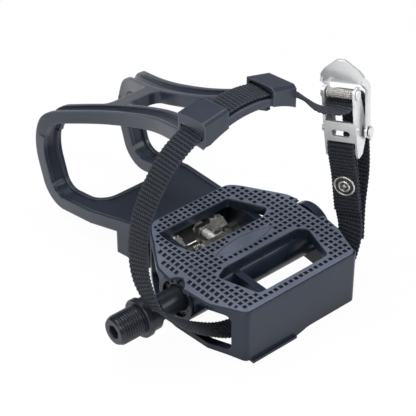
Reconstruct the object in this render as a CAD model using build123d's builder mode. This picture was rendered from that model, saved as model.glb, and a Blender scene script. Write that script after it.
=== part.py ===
from build123d import *
import os
from math import cos, radians, sin, sqrt

os.makedirs("parts", exist_ok=True)

# Frame: X runs along the spindle from the crank outwards, Y points to the toe, Z is up.
# The origin is on the spindle axis, on the flange face that seats on the crank.

# Spindle
thread_radius = 7.144
thread_length = 13.5
thread_chamfer = 1.1
hex_key = 6.0
hex_depth = 9.0
flange_radius = 9.4
flange_width = 3.5
flange_chamfer = 0.6
neck_radius = 8.3
neck_end_x = 8.5
wrench_flats = 15.0
journal_radius = 6.0
shank_radius = 5.0
tip_radius = 4.0
tip_overrun = 1.5

# Fits
running_gap = 0.05
seat_gap = 0.02
moving_gap = 0.4

# Pedal body, plan measured from its own middle plane
body_middle_x = 64.0
front_half = 23.2
front_y = 40.5
shoulder_half = 27.5
shoulder_y = 36.5
waist_half = 41.0
waist_front_y = 14.5
side_half = 42.2
waist_rear_half = 40.5
waist_rear_y = -20.5
haunch_half = 36.8
haunch_y = -29.5
rear_half = 33.5
rear_y = -39.0
outline_round = 3.0
top_z = 11.0
bottom_z = -16.5
deck_thickness = 4.5
wall = 4.0
crease_x = 31.6
slope_drop = 3.5
edge_round = 0.8

# Deck windows and the pointed bare panel on the bridge
window_round = 3.5
front_window_rear_y = 9.5
front_window_front_y = 31.0
front_window_in = 26.5
front_window_out_rear = 19.5
front_window_out = 25.0
front_window_front_out = 16.0
rear_window_front_y = -8.0
rear_window_rear_y = -31.5
rear_window_in = 26.5
rear_window_rear_in = 20.0
rear_window_out = 28.5
rear_window_rear_out = 22.0
panel_length = 34.0
panel_width = 6.0
panel_depth = 0.6
panel_y = 0.8

# Body walls
barrel_radius = 11.0
boss_radius = 11.5
boss_length = 12.0
front_wall_bottom_z = -9.5
rail_top_z = -13.6
side_window_top_z = 6.0
side_window_rear_y = -31.5
side_window_front_y = 32.0
side_window_barrel_gap = 12.5
strap_slot_front_y = 9.0
skirt_drop = 1.8
skirt_step_start = -4.0
skirt_step_end = 6.0
lip_reach = 1.3
lip_height = 1.4
lug_half = 19.75
lug_thickness = 3.5
lug_bottom_z = -11.5
rib_offset = -15.0
rib_thickness = 3.5
rib_top_z = 7.0
rib_bottom_z = -9.5

# Bearings along the barrel, from the crank side outwards
bore_radius = 9.0
lock_ring_inset = 1.7
lock_ring_width = 5.0
lock_ring_hole = 6.6
flute_count = 12
flute_width = 1.8
flute_depth = 2.6
flute_inner = 7.3
seal_width = 2.0
bush_radius = 7.6
bush_length = 13.5
barrel_bore = 7.0
bearing_inset = 19.2
bearing_width = 6.0
bearing_radius = 9.5
inner_race_radius = 5.5
outer_race_bore = 7.75
ball_radius = 1.5
ball_count = 8
washer_radius = 6.3
washer_width = 1.0
nut_flats = 12.0
nut_width = 4.5
cap_thread_radius = 10.0
cap_face_inset = 3.0
cap_flange_radius = 12.6
cap_flange_width = 4.8
cap_plug_length = 5.0
cap_key = 8.0
cap_key_depth = 2.5
cap_gap = 0.7

# Toe clip, side profile along the middle of its band
clip_middle_x = 63.5
clip_width = 62.0
arm_width = 10.8
band_thickness = 3.6
rim_thickness = 6.4
rim_width = 2.2
clip_start_y = front_y + 0.2
clip_start_z = 3.5
heel_y = 110.0
heel_z = -10.0
heel_round = 11.0
nose_y = 119.5
nose_z = 19.0
nose_round = 30.0
crown_y = 112.0
crown_z = 36.6
crown_round = 14.0
rail_end_y = 6.0
rail_end_z = 77.0
base_half = 24.0
base_side_y = 78.0
base_front_y = 82.0
base_corner_round = 9.0
bridge_front_y = 85.5
bridge_rear_y = 75.0
opening_round = 4.5
split_z = 25.0
skirt_length = 20.0
skirt_top_z = 1.0
skirt_bottom_z = -16.0
skirt_thickness = 3.0
clip_flange_thickness = 3.2
clip_flange_bottom_z = -10.0

# Rails of the clip in plan: how far each outer edge is drawn in, at places from the nose back
rail_plan = [
    (0.0, 134.0),
    (0.0, 118.0),
    (4.7, 100.0),
    (9.8, 80.0),
    (12.0, 58.0),
    (10.7, 38.0),
    (4.5, 14.0),
    (4.5, 0.0),
]

# Arch over the shoe and the strap guides at its ends
arch_inset = 4.5
arch_end_z = 75.5
arch_rise = 7.5
arch_thickness = 3.8
arch_rear_y = -2.0
arch_front_y = 14.0
guide_width = 13.5
guide_overhang = 1.0
guide_rear_rise = 4.7
guide_front_rise = 2.6
tunnel_height = 2.6
tunnel_side_gap = 0.8
guide_chamfer = 1.8

# Clip fasteners
clip_bolt_spacing = 26.2
clip_bolt_z = -5.0
clip_bolt_radius = 2.5
clip_bolt_flats = 8.0
clip_bolt_head = 3.5
lock_washer_radius = 5.2
lock_washer_width = 1.0
lock_washer_teeth = 10
tooth_depth = 1.1
tooth_width = 1.7
clip_nut_flats = 8.0
clip_nut_width = 4.0
bolt_hole_gap = 0.3

# Strap: its section, and places along its middle with the way its width points there
strap_width = 13.0
strap_thickness = 1.4
strap_middle_y = 6.0
strap_lift = 0.15
arch_steps = 20
outer_run = [
    ((109.4, -22.5, 9.5), (0.25, -0.97, 0)),
    ((107.2, -24.0, 3.0), (0.08, -1, 0)),
    ((105.0, -24.0, -4.0), (0, -1, 0)),
    ((100.5, -23.5, -9.3), (0, -1, 0)),
    ((94.0, -22.8, -12.0), (0, -1, 0)),
    ((86.0, -22.5, -12.6), (0, -1, 0)),
]
under_run = [
    ((42.0, -21.8, -12.5), (-0.06, -1, 0)),
    ((33.0, -19.5, -11.9), (-0.2, -0.97, 0.06)),
    ((23.4, -17.0, -7.5), (-0.16, -0.98, 0.09)),
    ((15.0, -15.8, -1.5), (-0.12, -0.99, 0.1)),
    ((9.0, -14.6, 4.0), (-0.13, -0.98, 0.14)),
]
inboard_run = [
    ((4.5, -13.2, 8.4), (-0.2, -0.94, 0.28)),
    ((1.9, -10.5, 12.8), (-0.18, -0.83, 0.53)),
    ((1.3, -6.5, 17.0), (-0.04, -0.8, 0.6)),
    ((1.6, -2.0, 23.0), (0.06, -0.86, 0.5)),
    ((3.0, 1.8, 31.0), (0.06, -0.95, 0.3)),
    ((6.0, 4.4, 43.0), (0.04, -0.98, 0.18)),
    ((10.5, 5.7, 52.5), (0.03, -0.99, 0.1)),
    ((18.0, 6.3, 64.2), (0, -1, 0.04)),
    ((25.5, 6.2, 72.8), (0, -1, 0)),
    ((31.5, 6.0, 77.3), (0, -1, 0)),
]
free_run = [
    ((93.4, 5.2, 78.6), (-0.05, -1, 0)),
    ((96.0, 0.8, 77.2), (-0.2, -0.97, 0.05)),
]
tail_run = [
    ((124.1, -7.2, 58.4), (0.41, -0.91, 0)),
    ((123.0, -11.2, 34.0), (0.41, -0.91, 0)),
    ((116.5, -16.5, 19.0), (0.36, -0.93, 0)),
    ((111.4, -22.0, 5.0), (0.25, -0.97, 0)),
]

# Buckle, in its own plane: roller axis along its x, length along its y, face towards its z
roller_centre = (110.2, -10.5, 78.2)
buckle_heading = -65.5
buckle_lean = 7.5
sheet = 1.2
ear_drop = 2.5
strap_end_y = -61.0
main_end_y = -63.0
layers_meet_y = -42.0
entry_run = [
    ((-10.2, -1.8, 9.6), (0.7, 0, 0.7)),
    ((-4.5, -4.2, 8.6), (0.85, 0, 0.52)),
    ((-0.2, -5.4, 5.2), (0.97, 0, 0.2)),
    ((0.0, -4.4, 0.0), (1, 0, 0)),
    ((0.0, -3.0, -4.0), (1, 0, 0)),
    ((0.0, -3.6, -9.5), (1, 0, 0)),
    ((0.0, -7.5, -12.8), (1, 0, 0)),
]
frame_half = 7.9
frame_top = 3.0
frame_face = 4.2
frame_plate_top = -12.6
frame_bottom = -28.8
emboss_length = 9.0
emboss_height = 3.2
emboss_centre = -18.7
strap_slot_top = -23.0
strap_slot_height = 2.9
strap_slot_half = 6.7
roller_radius = 2.2
roller_rib_depth = 0.35
roller_ribs = 14
roller_pin_radius = 1.0
pin_head_radius = 2.4
pin_head_width = 0.9
lever_pin_y = -21.0
lever_pin_z = -4.5
lever_pin_radius = 1.2
lever_gap = 0.4
lever_arm_width = 3.6
lever_elbow_y = 0.0
lever_elbow_z = -8.5
lever_top_y = 5.6
lever_top_z = -3.0
lever_open_angle = 35.0
paddle_half = 8.2
paddle_height = 9.5
paddle_tip_half = 2.0
paddle_thickness = 1.4
lever_tail_y = -26.0
lever_tail_z = -8.0

# Snap rivet through the sewn-back end of the strap
rivet_drop = 46.5
rivet_cap_radius = 5.2
rivet_cap_height = 1.2
rivet_ring_radius = 3.4
rivet_dimple_radius = 1.6
rivet_dimple_depth = 0.6
rivet_back_radius = 4.0
rivet_post_radius = 1.2

# Cleat binding under the deck
jaw_pin_y = 27.0
jaw_pin_z = -6.0
jaw_pin_radius = 2.0
jaw_half = 13.5
jaw_ear_width = 3.0
jaw_ear_radius = 4.2
jaw_plate_thickness = 2.6
jaw_knee_y = 25.0
jaw_knee_z = -12.4
jaw_lip_y = 15.0
jaw_lip_z = -15.2
jaw_notch_half = 6.0
jaw_notch_depth = 3.5
jaw_tab_half = 3.8
jaw_tab_y = 30.3
jaw_tab_foot_z = -1.5
jaw_tab_top_z = 4.0
spring_coils = 4
spring_pitch = 1.35
spring_wire = 0.75
spring_inner = 2.4
spring_offset = 7.2
tension_bolt_z = 0.2
tension_bolt_radius = 2.0
tension_bolt_flats = 6.0
tension_bolt_head = 2.6
tension_plate_y = 18.5
tension_plate_half = 11.0
tension_plate_height = 5.0
tension_plate_width = 2.4
claw_half = 14.0
claw_front_y = -15.0
claw_top_z = -14.0
claw_thickness = 2.4
claw_notch_half = 6.5
claw_post_radius = 2.7
claw_post_spacing = 20.0
claw_post_y = -32.2
claw_post_top_z = -2.0
claw_bolt_radius = 1.6
claw_bolt_head_radius = 2.6
claw_bolt_head = 1.6
claw_bolt_depth = 6.0

# Derived places
body_in_x = body_middle_x - side_half
body_out_x = body_middle_x + side_half
deck_z = top_z - deck_thickness
front_inner_y = front_y - wall
cap_face_x = body_out_x - cap_face_inset
bearing_x = cap_face_x - bearing_inset
lock_ring_x = body_in_x + lock_ring_inset
seal_x = lock_ring_x + lock_ring_width
bush_x = seal_x + seal_width
bush_end_x = bush_x + bush_length
bearing_end_x = bearing_x + bearing_width
nut_x = bearing_end_x + washer_width
tip_x = nut_x + nut_width + tip_overrun
clip_in_x = clip_middle_x - clip_width / 2
clip_out_x = clip_middle_x + clip_width / 2
arch_half = clip_width / 2 - arch_inset
arch_in_x = clip_middle_x - arch_half
arch_out_x = clip_middle_x + arch_half
arch_radius = (arch_half**2 + arch_rise**2) / (2 * arch_rise)
arch_crown_z = arch_end_z + arch_rise
bolt_xs = [clip_middle_x - clip_bolt_spacing / 2, clip_middle_x + clip_bolt_spacing / 2]


def arch_under(x):
    """Height of the arch's lower face at a place along the spindle direction."""
    across = x - clip_middle_x
    return arch_crown_z - arch_radius + sqrt(arch_radius**2 - across**2)


def strap_over_arch(x):
    """Height of the strap's middle where it lies on the arch."""
    return arch_under(x) + arch_thickness + strap_thickness / 2 + strap_lift


def deck_points():
    """Corners of the deck's plan, right half first, then its mirror image."""
    half = [
        (front_half, front_y),
        (shoulder_half, shoulder_y),
        (waist_half, waist_front_y),
        (side_half, 0),
        (waist_rear_half, waist_rear_y),
        (haunch_half, haunch_y),
        (rear_half, rear_y),
    ]
    right = [(body_middle_x + x, y) for x, y in half]
    left = [(body_middle_x - x, y) for x, y in reversed(half)]
    return right + left


def across(x):
    """Plane square to the spindle, with Y to its right and Z up."""
    return Plane.YZ.offset(x)


def facing_rear(y):
    """Plane square to Y, with X to its right and Z up, extruding to the rear."""
    return Plane(origin=(0, y, 0), x_dir=(1, 0, 0), z_dir=(0, -1, 0))


def ring(x, width, outer, inner):
    """Plain ring around the spindle axis."""
    with BuildPart() as made:
        with BuildSketch(across(x)):
            Circle(outer)
            Circle(inner, mode=Mode.SUBTRACT)
        extrude(amount=width)
    return made.part


def save(piece, name):
    """Label a finished piece and write its file."""
    piece.label = name
    export_step(piece, f"parts/{name}.step")


# Spindle: thread, flange, neck with wrench flats, journal, shank and tip
with BuildPart() as spindle:
    with BuildSketch(Plane.XZ):
        with BuildLine():
            Polyline(
                (-thread_length, 0),
                (-thread_length, thread_radius - thread_chamfer),
                (-thread_length + thread_chamfer, thread_radius),
                (0, thread_radius),
                (0, flange_radius - flange_chamfer),
                (flange_chamfer, flange_radius),
                (flange_width - flange_chamfer, flange_radius),
                (flange_width, flange_radius - flange_chamfer),
                (flange_width, neck_radius),
                (neck_end_x, neck_radius),
                (neck_end_x + (neck_radius - journal_radius), journal_radius),
                (bush_end_x, journal_radius),
                (bush_end_x + (journal_radius - shank_radius), shank_radius),
                (bearing_x, shank_radius),
                (bearing_x, tip_radius),
                (tip_x - thread_chamfer, tip_radius),
                (tip_x, tip_radius - thread_chamfer),
                (tip_x, 0),
                close=True,
            )
        make_face()
    revolve(axis=Axis.X)
    with BuildSketch(across(-thread_length)):
        RegularPolygon(radius=hex_key / 2, side_count=6, major_radius=False, rotation=30)
    extrude(amount=hex_depth, mode=Mode.SUBTRACT)
    with BuildSketch(across(flange_width)):
        Circle(flange_radius)
        Rectangle(2 * flange_radius, wrench_flats, mode=Mode.SUBTRACT)
    extrude(amount=neck_end_x - flange_width, mode=Mode.SUBTRACT)
save(spindle.part, "spindle")

# Pedal body: open casting around the barrel
with BuildPart() as pedal_body:
    with BuildSketch(Plane.XY.offset(bottom_z)) as plan:
        with BuildLine():
            Polyline(*deck_points(), close=True)
        make_face()
        fillet(plan.vertices(), outline_round)
    extrude(amount=top_z - bottom_z)
    fillet(pedal_body.faces().sort_by(Axis.Z)[-1].edges(), edge_round)
    with BuildSketch(Plane.XY.offset(bottom_z)) as hollow:
        with BuildLine():
            Polyline(*deck_points(), close=True)
        make_face()
        offset(amount=-wall, mode=Mode.REPLACE)
    extrude(amount=deck_z - bottom_z, mode=Mode.SUBTRACT)

    # Deeper part of the rear skirt, stepping up towards the outside, with its lip
    with BuildSketch(facing_rear(rear_y + wall)) as skirt:
        with BuildLine():
            start = (body_middle_x - rear_half + outline_round, bottom_z)
            step_low = (body_middle_x + skirt_step_start, bottom_z - skirt_drop)
            step_high = (body_middle_x + skirt_step_end, bottom_z)
            corner = (start[0], bottom_z - skirt_drop)
            Polyline(step_high, start, corner, step_low)
            Spline(step_low, step_high, tangents=[(1, 0), (1, 0)])
        make_face()
    extrude(amount=wall)
    with BuildSketch(facing_rear(rear_y)):
        with Locations(((start[0] + step_low[0]) / 2, bottom_z - skirt_drop + lip_height / 2)):
            Rectangle(step_low[0] - start[0], lip_height)
    extrude(amount=lip_reach)

    # Side windows: two behind the barrel with the strap slot under the boss, two ahead of it
    rear_opening = (side_window_rear_y, -side_window_barrel_gap)
    front_opening = (side_window_barrel_gap, side_window_front_y)
    for low_y, high_y in (rear_opening, front_opening):
        with BuildSketch(across(body_in_x - wall)) as opening:
            with Locations(((low_y + high_y) / 2, (rail_top_z + side_window_top_z) / 2)):
                Rectangle(high_y - low_y, side_window_top_z - rail_top_z)
            fillet(opening.vertices(), window_round)
        extrude(amount=2 * side_half + 2 * wall, mode=Mode.SUBTRACT)
    slot_rear_y = side_window_rear_y + window_round
    with BuildSketch(across(body_in_x - wall)):
        with Locations(((strap_slot_front_y + slot_rear_y) / 2, rail_top_z / 2)):
            Rectangle(strap_slot_front_y - slot_rear_y, -rail_top_z)
    extrude(amount=body_middle_x - body_in_x, mode=Mode.SUBTRACT)

    # The front wall stops above the binding
    with BuildSketch(facing_rear(front_y + wall)):
        with Locations((body_middle_x, (bottom_z + front_wall_bottom_z) / 2)):
            Rectangle(2 * shoulder_half, front_wall_bottom_z - bottom_z)
    extrude(amount=front_y + wall - side_window_front_y, mode=Mode.SUBTRACT)

    # Barrel, inboard boss, lugs for the jaw pin and the stiffening rib
    with BuildSketch(across(body_in_x + outline_round)):
        Circle(barrel_radius)
    extrude(amount=cap_face_x - body_in_x - outline_round)
    with BuildSketch(across(body_in_x)):
        Circle(boss_radius)
    extrude(amount=boss_length)
    for side in (-1, 1):
        lug_x = body_middle_x + side * (lug_half + lug_thickness / 2) - lug_thickness / 2
        with BuildSketch(across(lug_x)):
            with Locations(((front_inner_y + 1) / 2, (deck_z + lug_bottom_z) / 2)):
                Rectangle(front_inner_y + 1, deck_z - lug_bottom_z)
        extrude(amount=lug_thickness)
    with BuildSketch(across(body_middle_x + rib_offset)):
        with Locations(((rear_y + 1) / 2, (rib_top_z + rib_bottom_z) / 2)):
            Rectangle(-rear_y - 1, rib_top_z - rib_bottom_z)
    extrude(amount=rib_thickness)
    for side in (-1, 1):
        with BuildSketch(Plane.XY.offset(claw_top_z)):
            with Locations((body_middle_x + side * claw_post_spacing / 2, claw_post_y)):
                Circle(claw_post_radius)
            with Locations((body_middle_x + side * claw_post_spacing / 2, rear_y + wall)):
                Rectangle(claw_post_radius, wall)
        extrude(amount=claw_post_top_z - claw_top_z)
        with BuildSketch(Plane.XY.offset(claw_top_z)):
            with Locations((body_middle_x + side * claw_post_spacing / 2, claw_post_y)):
                Circle(claw_bolt_radius + seat_gap)
        extrude(amount=claw_bolt_depth, mode=Mode.SUBTRACT)

    # Inboard edge of the deck slopes down over the boss
    with BuildSketch(facing_rear(front_y)):
        with BuildLine():
            fall = slope_drop / (crease_x - body_in_x)
            low_x = body_in_x - wall
            Polyline(
                (crease_x, top_z),
                (low_x, top_z - fall * (crease_x - low_x)),
                (low_x, top_z + wall),
                (crease_x, top_z + wall),
                close=True,
            )
        make_face()
    extrude(amount=front_y - rear_y, mode=Mode.SUBTRACT)

    # Deck windows
    with BuildSketch(Plane.XY.offset(deck_z)) as front_window:
        with BuildLine():
            Polyline(
                (body_middle_x - front_window_in, front_window_rear_y + 3 * window_round),
                (body_middle_x - front_window_in, front_window_front_y),
                (body_middle_x + front_window_front_out, front_window_front_y),
                (body_middle_x + front_window_out, front_window_rear_y + window_round),
                (body_middle_x + front_window_out_rear, front_window_rear_y),
                (body_middle_x - front_window_in + window_round, front_window_rear_y),
                close=True,
            )
        make_face()
        fillet(front_window.vertices(), window_round / 2)
    extrude(amount=deck_thickness, mode=Mode.SUBTRACT)
    with BuildSketch(Plane.XY.offset(deck_z)) as rear_window:
        with BuildLine():
            Polyline(
                (body_middle_x - rear_window_in, rear_window_front_y - window_round),
                (body_middle_x - rear_window_rear_in, rear_window_rear_y),
                (body_middle_x + rear_window_rear_out, rear_window_rear_y),
                (body_middle_x + rear_window_out, rear_window_front_y - window_round),
                (body_middle_x + rear_window_out - window_round, rear_window_front_y),
                (body_middle_x - rear_window_in + 2 * window_round, rear_window_front_y),
                close=True,
            )
        make_face()
        fillet(rear_window.vertices(), window_round / 2)
    extrude(amount=deck_thickness, mode=Mode.SUBTRACT)

    # Pointed panel sunk into the bridge
    with BuildSketch(Plane.XY.offset(top_z - panel_depth)):
        with BuildLine():
            tip_in = (body_middle_x - panel_length / 2, panel_y)
            tip_out = (body_middle_x + panel_length / 2, panel_y)
            ThreePointArc(tip_in, (body_middle_x, panel_y + panel_width / 2), tip_out)
            ThreePointArc(tip_out, (body_middle_x, panel_y - panel_width / 2), tip_in)
        make_face()
    extrude(amount=panel_depth, mode=Mode.SUBTRACT)

    # Bores: lock ring and seal, bush, barrel, bearing, end cap and its seat
    for x, length, radius in (
        (body_in_x - wall, bush_x - body_in_x + wall, bore_radius),
        (bush_x, bush_length, bush_radius + seat_gap),
        (bush_end_x, bearing_x - bush_end_x, barrel_bore),
        (bearing_x, bearing_width, bearing_radius + seat_gap),
        (bearing_end_x, cap_face_x - bearing_end_x, cap_thread_radius),
        (cap_face_x, body_out_x, cap_flange_radius + cap_gap),
    ):
        with BuildSketch(across(x)):
            Circle(radius)
        extrude(amount=length, mode=Mode.SUBTRACT)

    # Holes for the clip bolts and the jaw pin
    with BuildSketch(facing_rear(front_y)):
        with Locations(*[(x, clip_bolt_z) for x in bolt_xs]):
            Circle(clip_bolt_radius + bolt_hole_gap)
    extrude(amount=wall, mode=Mode.SUBTRACT)
    with BuildSketch(across(body_middle_x - lug_half - lug_thickness)):
        with Locations((jaw_pin_y, jaw_pin_z)):
            Circle(jaw_pin_radius + seat_gap)
    extrude(amount=2 * (lug_half + lug_thickness), mode=Mode.SUBTRACT)
save(pedal_body.part, "pedal_body")

# Fluted lock ring in the inboard bore
with BuildPart() as lock_ring:
    add(ring(lock_ring_x, lock_ring_width, bore_radius - seat_gap, lock_ring_hole))
    with BuildSketch(across(lock_ring_x)):
        with PolarLocations((flute_inner + bore_radius) / 2, flute_count):
            Rectangle(bore_radius - flute_inner, flute_width)
    extrude(amount=flute_depth, mode=Mode.SUBTRACT)
save(lock_ring.part, "lock_ring")

axle_seal = ring(seal_x, seal_width, bore_radius - seat_gap, journal_radius + running_gap)
save(axle_seal, "axle_seal")
inner_bush = ring(bush_x, bush_length, bush_radius, journal_radius + running_gap)
save(inner_bush, "inner_bush")

# Outboard ball bearing
race_pitch = (inner_race_radius + outer_race_bore) / 2
race_middle_x = bearing_x + bearing_width / 2
with BuildPart() as bearing_inner_race:
    add(ring(bearing_x, bearing_width, inner_race_radius, tip_radius + seat_gap))
    with Locations(Location((race_middle_x, 0, 0), (0, 90, 0))):
        Torus(race_pitch, ball_radius + running_gap, mode=Mode.SUBTRACT)
save(bearing_inner_race.part, "bearing_inner_race")
with BuildPart() as bearing_outer_race:
    add(ring(bearing_x, bearing_width, bearing_radius, outer_race_bore))
    with Locations(Location((race_middle_x, 0, 0), (0, 90, 0))):
        Torus(race_pitch, ball_radius + running_gap, mode=Mode.SUBTRACT)
save(bearing_outer_race.part, "bearing_outer_race")
with BuildPart() as bearing_balls:
    with Locations(across(race_middle_x)):
        with PolarLocations(race_pitch, ball_count):
            Sphere(ball_radius)
save(bearing_balls.part, "bearing_balls")

spindle_washer = ring(bearing_end_x, washer_width, washer_radius, tip_radius + seat_gap)
save(spindle_washer, "spindle_washer")
with BuildPart() as spindle_nut:
    with BuildSketch(across(nut_x)):
        RegularPolygon(radius=nut_flats / 2, side_count=6, major_radius=False)
        Circle(tip_radius + seat_gap, mode=Mode.SUBTRACT)
    extrude(amount=nut_width)
save(spindle_nut.part, "spindle_nut")

# End cap: plug in the barrel, round flange outside
with BuildPart() as end_cap:
    with BuildSketch(across(cap_face_x)):
        Circle(cap_flange_radius)
    extrude(amount=cap_flange_width)
    fillet(end_cap.faces().sort_by(Axis.X)[-1].edges(), edge_round)
    with BuildSketch(across(cap_face_x)):
        Circle(cap_thread_radius - seat_gap)
    extrude(amount=-cap_plug_length)
    with BuildSketch(across(cap_face_x + cap_flange_width)):
        RegularPolygon(radius=cap_key / 2, side_count=6, major_radius=False)
    extrude(amount=-cap_key_depth, mode=Mode.SUBTRACT)
save(end_cap.part, "end_cap")

# Toe clip
spine_points = [
    (clip_start_y + edge_round, clip_start_z),
    (heel_y, heel_z),
    (nose_y, nose_z),
    (crown_y, crown_z),
    (rail_end_y, rail_end_z),
]
spine_rounds = [heel_round, nose_round, crown_round]
tunnel_rear_y = strap_middle_y - strap_width / 2 - tunnel_side_gap
tunnel_front_y = strap_middle_y + strap_width / 2 + tunnel_side_gap
clip_front_y = nose_y + 3 * wall
floor_z = arch_crown_z + arch_thickness
guide_rear_y = arch_rear_y - guide_overhang
guide_front_y = arch_front_y + guide_overhang


def rail_edge(side, inward):
    """Line along a rail in plan, drawn in from its outer edge by a distance."""
    return [(clip_middle_x + side * (clip_width / 2 - inset - inward), y) for inset, y in rail_plan]


def plan_between(first, second):
    """Plan area between two smooth lines that run the same way."""
    with BuildSketch() as made:
        with BuildLine():
            one = Spline(*first)
            two = Spline(*second)
            Line(one @ 0, two @ 0)
            Line(one @ 1, two @ 1)
        make_face()
    return made.sketch


def clip_band(thickness, plan, low_z, high_z):
    """Part of the bent band that lies over a plan area, between two heights."""
    with BuildPart() as made:
        with BuildSketch(across(clip_in_x)):
            with BuildLine():
                FilletPolyline(*spine_points, radius=spine_rounds)
            trace(line_width=thickness)
        extrude(amount=clip_width)
        with BuildSketch(Plane.XY.offset(low_z)):
            add(plan)
        extrude(amount=high_z - low_z, mode=Mode.INTERSECT)
    return made.part


# Upper plan: two rails drawn together behind the nose, joined by the bridge
with BuildSketch() as rail_gap:
    add(plan_between(rail_edge(-1, arm_width), rail_edge(1, arm_width)))
    with Locations((clip_middle_x, (bridge_front_y + bridge_rear_y) / 2)):
        Rectangle(clip_width, bridge_front_y - bridge_rear_y, mode=Mode.SUBTRACT)
    bridge_corners = rail_gap.vertices().filter_by_position(Axis.Y, bridge_rear_y - wall, bridge_front_y + wall)
    fillet(bridge_corners, opening_round)
with BuildSketch() as upper_plan:
    add(plan_between(rail_edge(-1, 0), rail_edge(1, 0)))
    add(rail_gap.sketch, mode=Mode.SUBTRACT)
with BuildSketch() as upper_rims:
    add(upper_plan.sketch)
    for side in (-1, 1):
        channel = plan_between(rail_edge(side, rim_width), rail_edge(side, arm_width - rim_width))
        add(channel, mode=Mode.SUBTRACT)

# Lower plan: base plate that widens from the body to the two arms
with BuildSketch() as front_gap:
    with Locations((clip_middle_x, (base_front_y + clip_front_y + wall) / 2)):
        Rectangle(clip_width - 2 * arm_width, clip_front_y + wall - base_front_y)
    fillet(front_gap.vertices().group_by(Axis.Y)[0], base_corner_round)
with BuildSketch() as lower_plan:
    with BuildLine():
        Polyline(
            (clip_middle_x - base_half, clip_start_y - wall),
            (clip_middle_x + base_half, clip_start_y - wall),
            (clip_out_x, base_side_y),
            (clip_out_x, clip_front_y),
            (clip_in_x, clip_front_y),
            (clip_in_x, base_side_y),
            close=True,
        )
    make_face()
    add(front_gap.sketch, mode=Mode.SUBTRACT)
with BuildSketch() as lower_panel:
    add(lower_plan.sketch)
    offset(amount=-rim_width, mode=Mode.REPLACE)
with BuildSketch() as lower_rims:
    add(lower_plan.sketch)
    add(lower_panel.sketch, mode=Mode.SUBTRACT)

with BuildPart() as toe_clip:
    # Strap guides at both ends of the arch, hollowed below to its curve
    for x in (arch_in_x, arch_out_x - guide_width):
        with BuildSketch(across(x)) as guide:
            with BuildLine():
                Polyline(
                    (guide_rear_y, arch_end_z),
                    (guide_front_y, arch_end_z),
                    (guide_front_y, floor_z + guide_front_rise),
                    (guide_rear_y, floor_z + guide_rear_rise),
                    close=True,
                )
            make_face()
            chamfer(guide.vertices().sort_by(Axis.Z)[-2:], guide_chamfer)
        extrude(amount=guide_width)
    left_low = (arch_in_x, arch_end_z)
    right_low = (arch_out_x, arch_end_z)
    with BuildSketch(facing_rear(guide_front_y)):
        with BuildLine():
            ThreePointArc(left_low, (clip_middle_x, arch_crown_z), right_low)
            Line(right_low, left_low)
        make_face()
    extrude(amount=guide_front_y - guide_rear_y, mode=Mode.SUBTRACT)

    # Arch between the guides
    with BuildSketch(facing_rear(arch_front_y)):
        with BuildLine():
            low = ThreePointArc(left_low, (clip_middle_x, arch_crown_z), right_low)
            right_up = Line(right_low, (arch_out_x, arch_end_z + arch_thickness))
            top = ThreePointArc(
                right_up @ 1,
                (clip_middle_x, floor_z),
                (arch_in_x, arch_end_z + arch_thickness),
            )
            Line(top @ 1, low @ 0)
        make_face()
    extrude(amount=arch_front_y - arch_rear_y)

    # Base, arms and rails, with raised rims along their edges
    for thickness, area, low_z, high_z in (
        (band_thickness, lower_plan, -heel_y, split_z),
        (rim_thickness, lower_rims, -heel_y, split_z),
        (band_thickness, upper_plan, split_z, heel_y),
        (rim_thickness, upper_rims, split_z, heel_y),
    ):
        add(clip_band(thickness, area.sketch, low_z, high_z))

    # Side skirts and the flange that bolts to the body's front wall
    widening = (clip_width / 2 - base_half) / (base_side_y - clip_start_y + wall)
    skirt_near = base_half + widening * wall
    skirt_far = skirt_near + widening * skirt_length
    for side in (-1, 1):
        with BuildSketch(Plane.XY.offset(skirt_bottom_z)):
            with BuildLine():
                Polyline(
                    (clip_middle_x + side * skirt_near, clip_start_y),
                    (clip_middle_x + side * skirt_far, clip_start_y + skirt_length),
                    (clip_middle_x + side * (skirt_far - skirt_thickness), clip_start_y + skirt_length),
                    (clip_middle_x + side * (skirt_near - skirt_thickness), clip_start_y),
                    close=True,
                )
            make_face()
        extrude(amount=skirt_top_z - skirt_bottom_z)
    with BuildSketch(facing_rear(clip_start_y + clip_flange_thickness)):
        with Locations((clip_middle_x, (clip_start_z + clip_flange_bottom_z) / 2)):
            Rectangle(2 * base_half, clip_start_z - clip_flange_bottom_z)
        with Locations(*[(x, clip_bolt_z) for x in bolt_xs]):
            Circle(clip_bolt_radius + bolt_hole_gap, mode=Mode.SUBTRACT)
    extrude(amount=clip_flange_thickness)

    # Strap tunnel over the arch, through both guides
    with BuildSketch(facing_rear(tunnel_front_y)):
        with BuildLine():
            reach = arch_half + guide_overhang
            end_z = floor_z - arch_radius + sqrt(arch_radius**2 - reach**2)
            floor = ThreePointArc(
                (clip_middle_x - reach, end_z), (clip_middle_x, floor_z), (clip_middle_x + reach, end_z)
            )
            wall_up = Line(floor @ 1, (clip_middle_x + reach, end_z + tunnel_height))
            roof = ThreePointArc(
                wall_up @ 1,
                (clip_middle_x, floor_z + tunnel_height),
                (clip_middle_x - reach, end_z + tunnel_height),
            )
            Line(roof @ 1, floor @ 0)
        make_face()
    extrude(amount=tunnel_front_y - tunnel_rear_y, mode=Mode.SUBTRACT)
save(toe_clip.part, "toe_clip")

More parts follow.
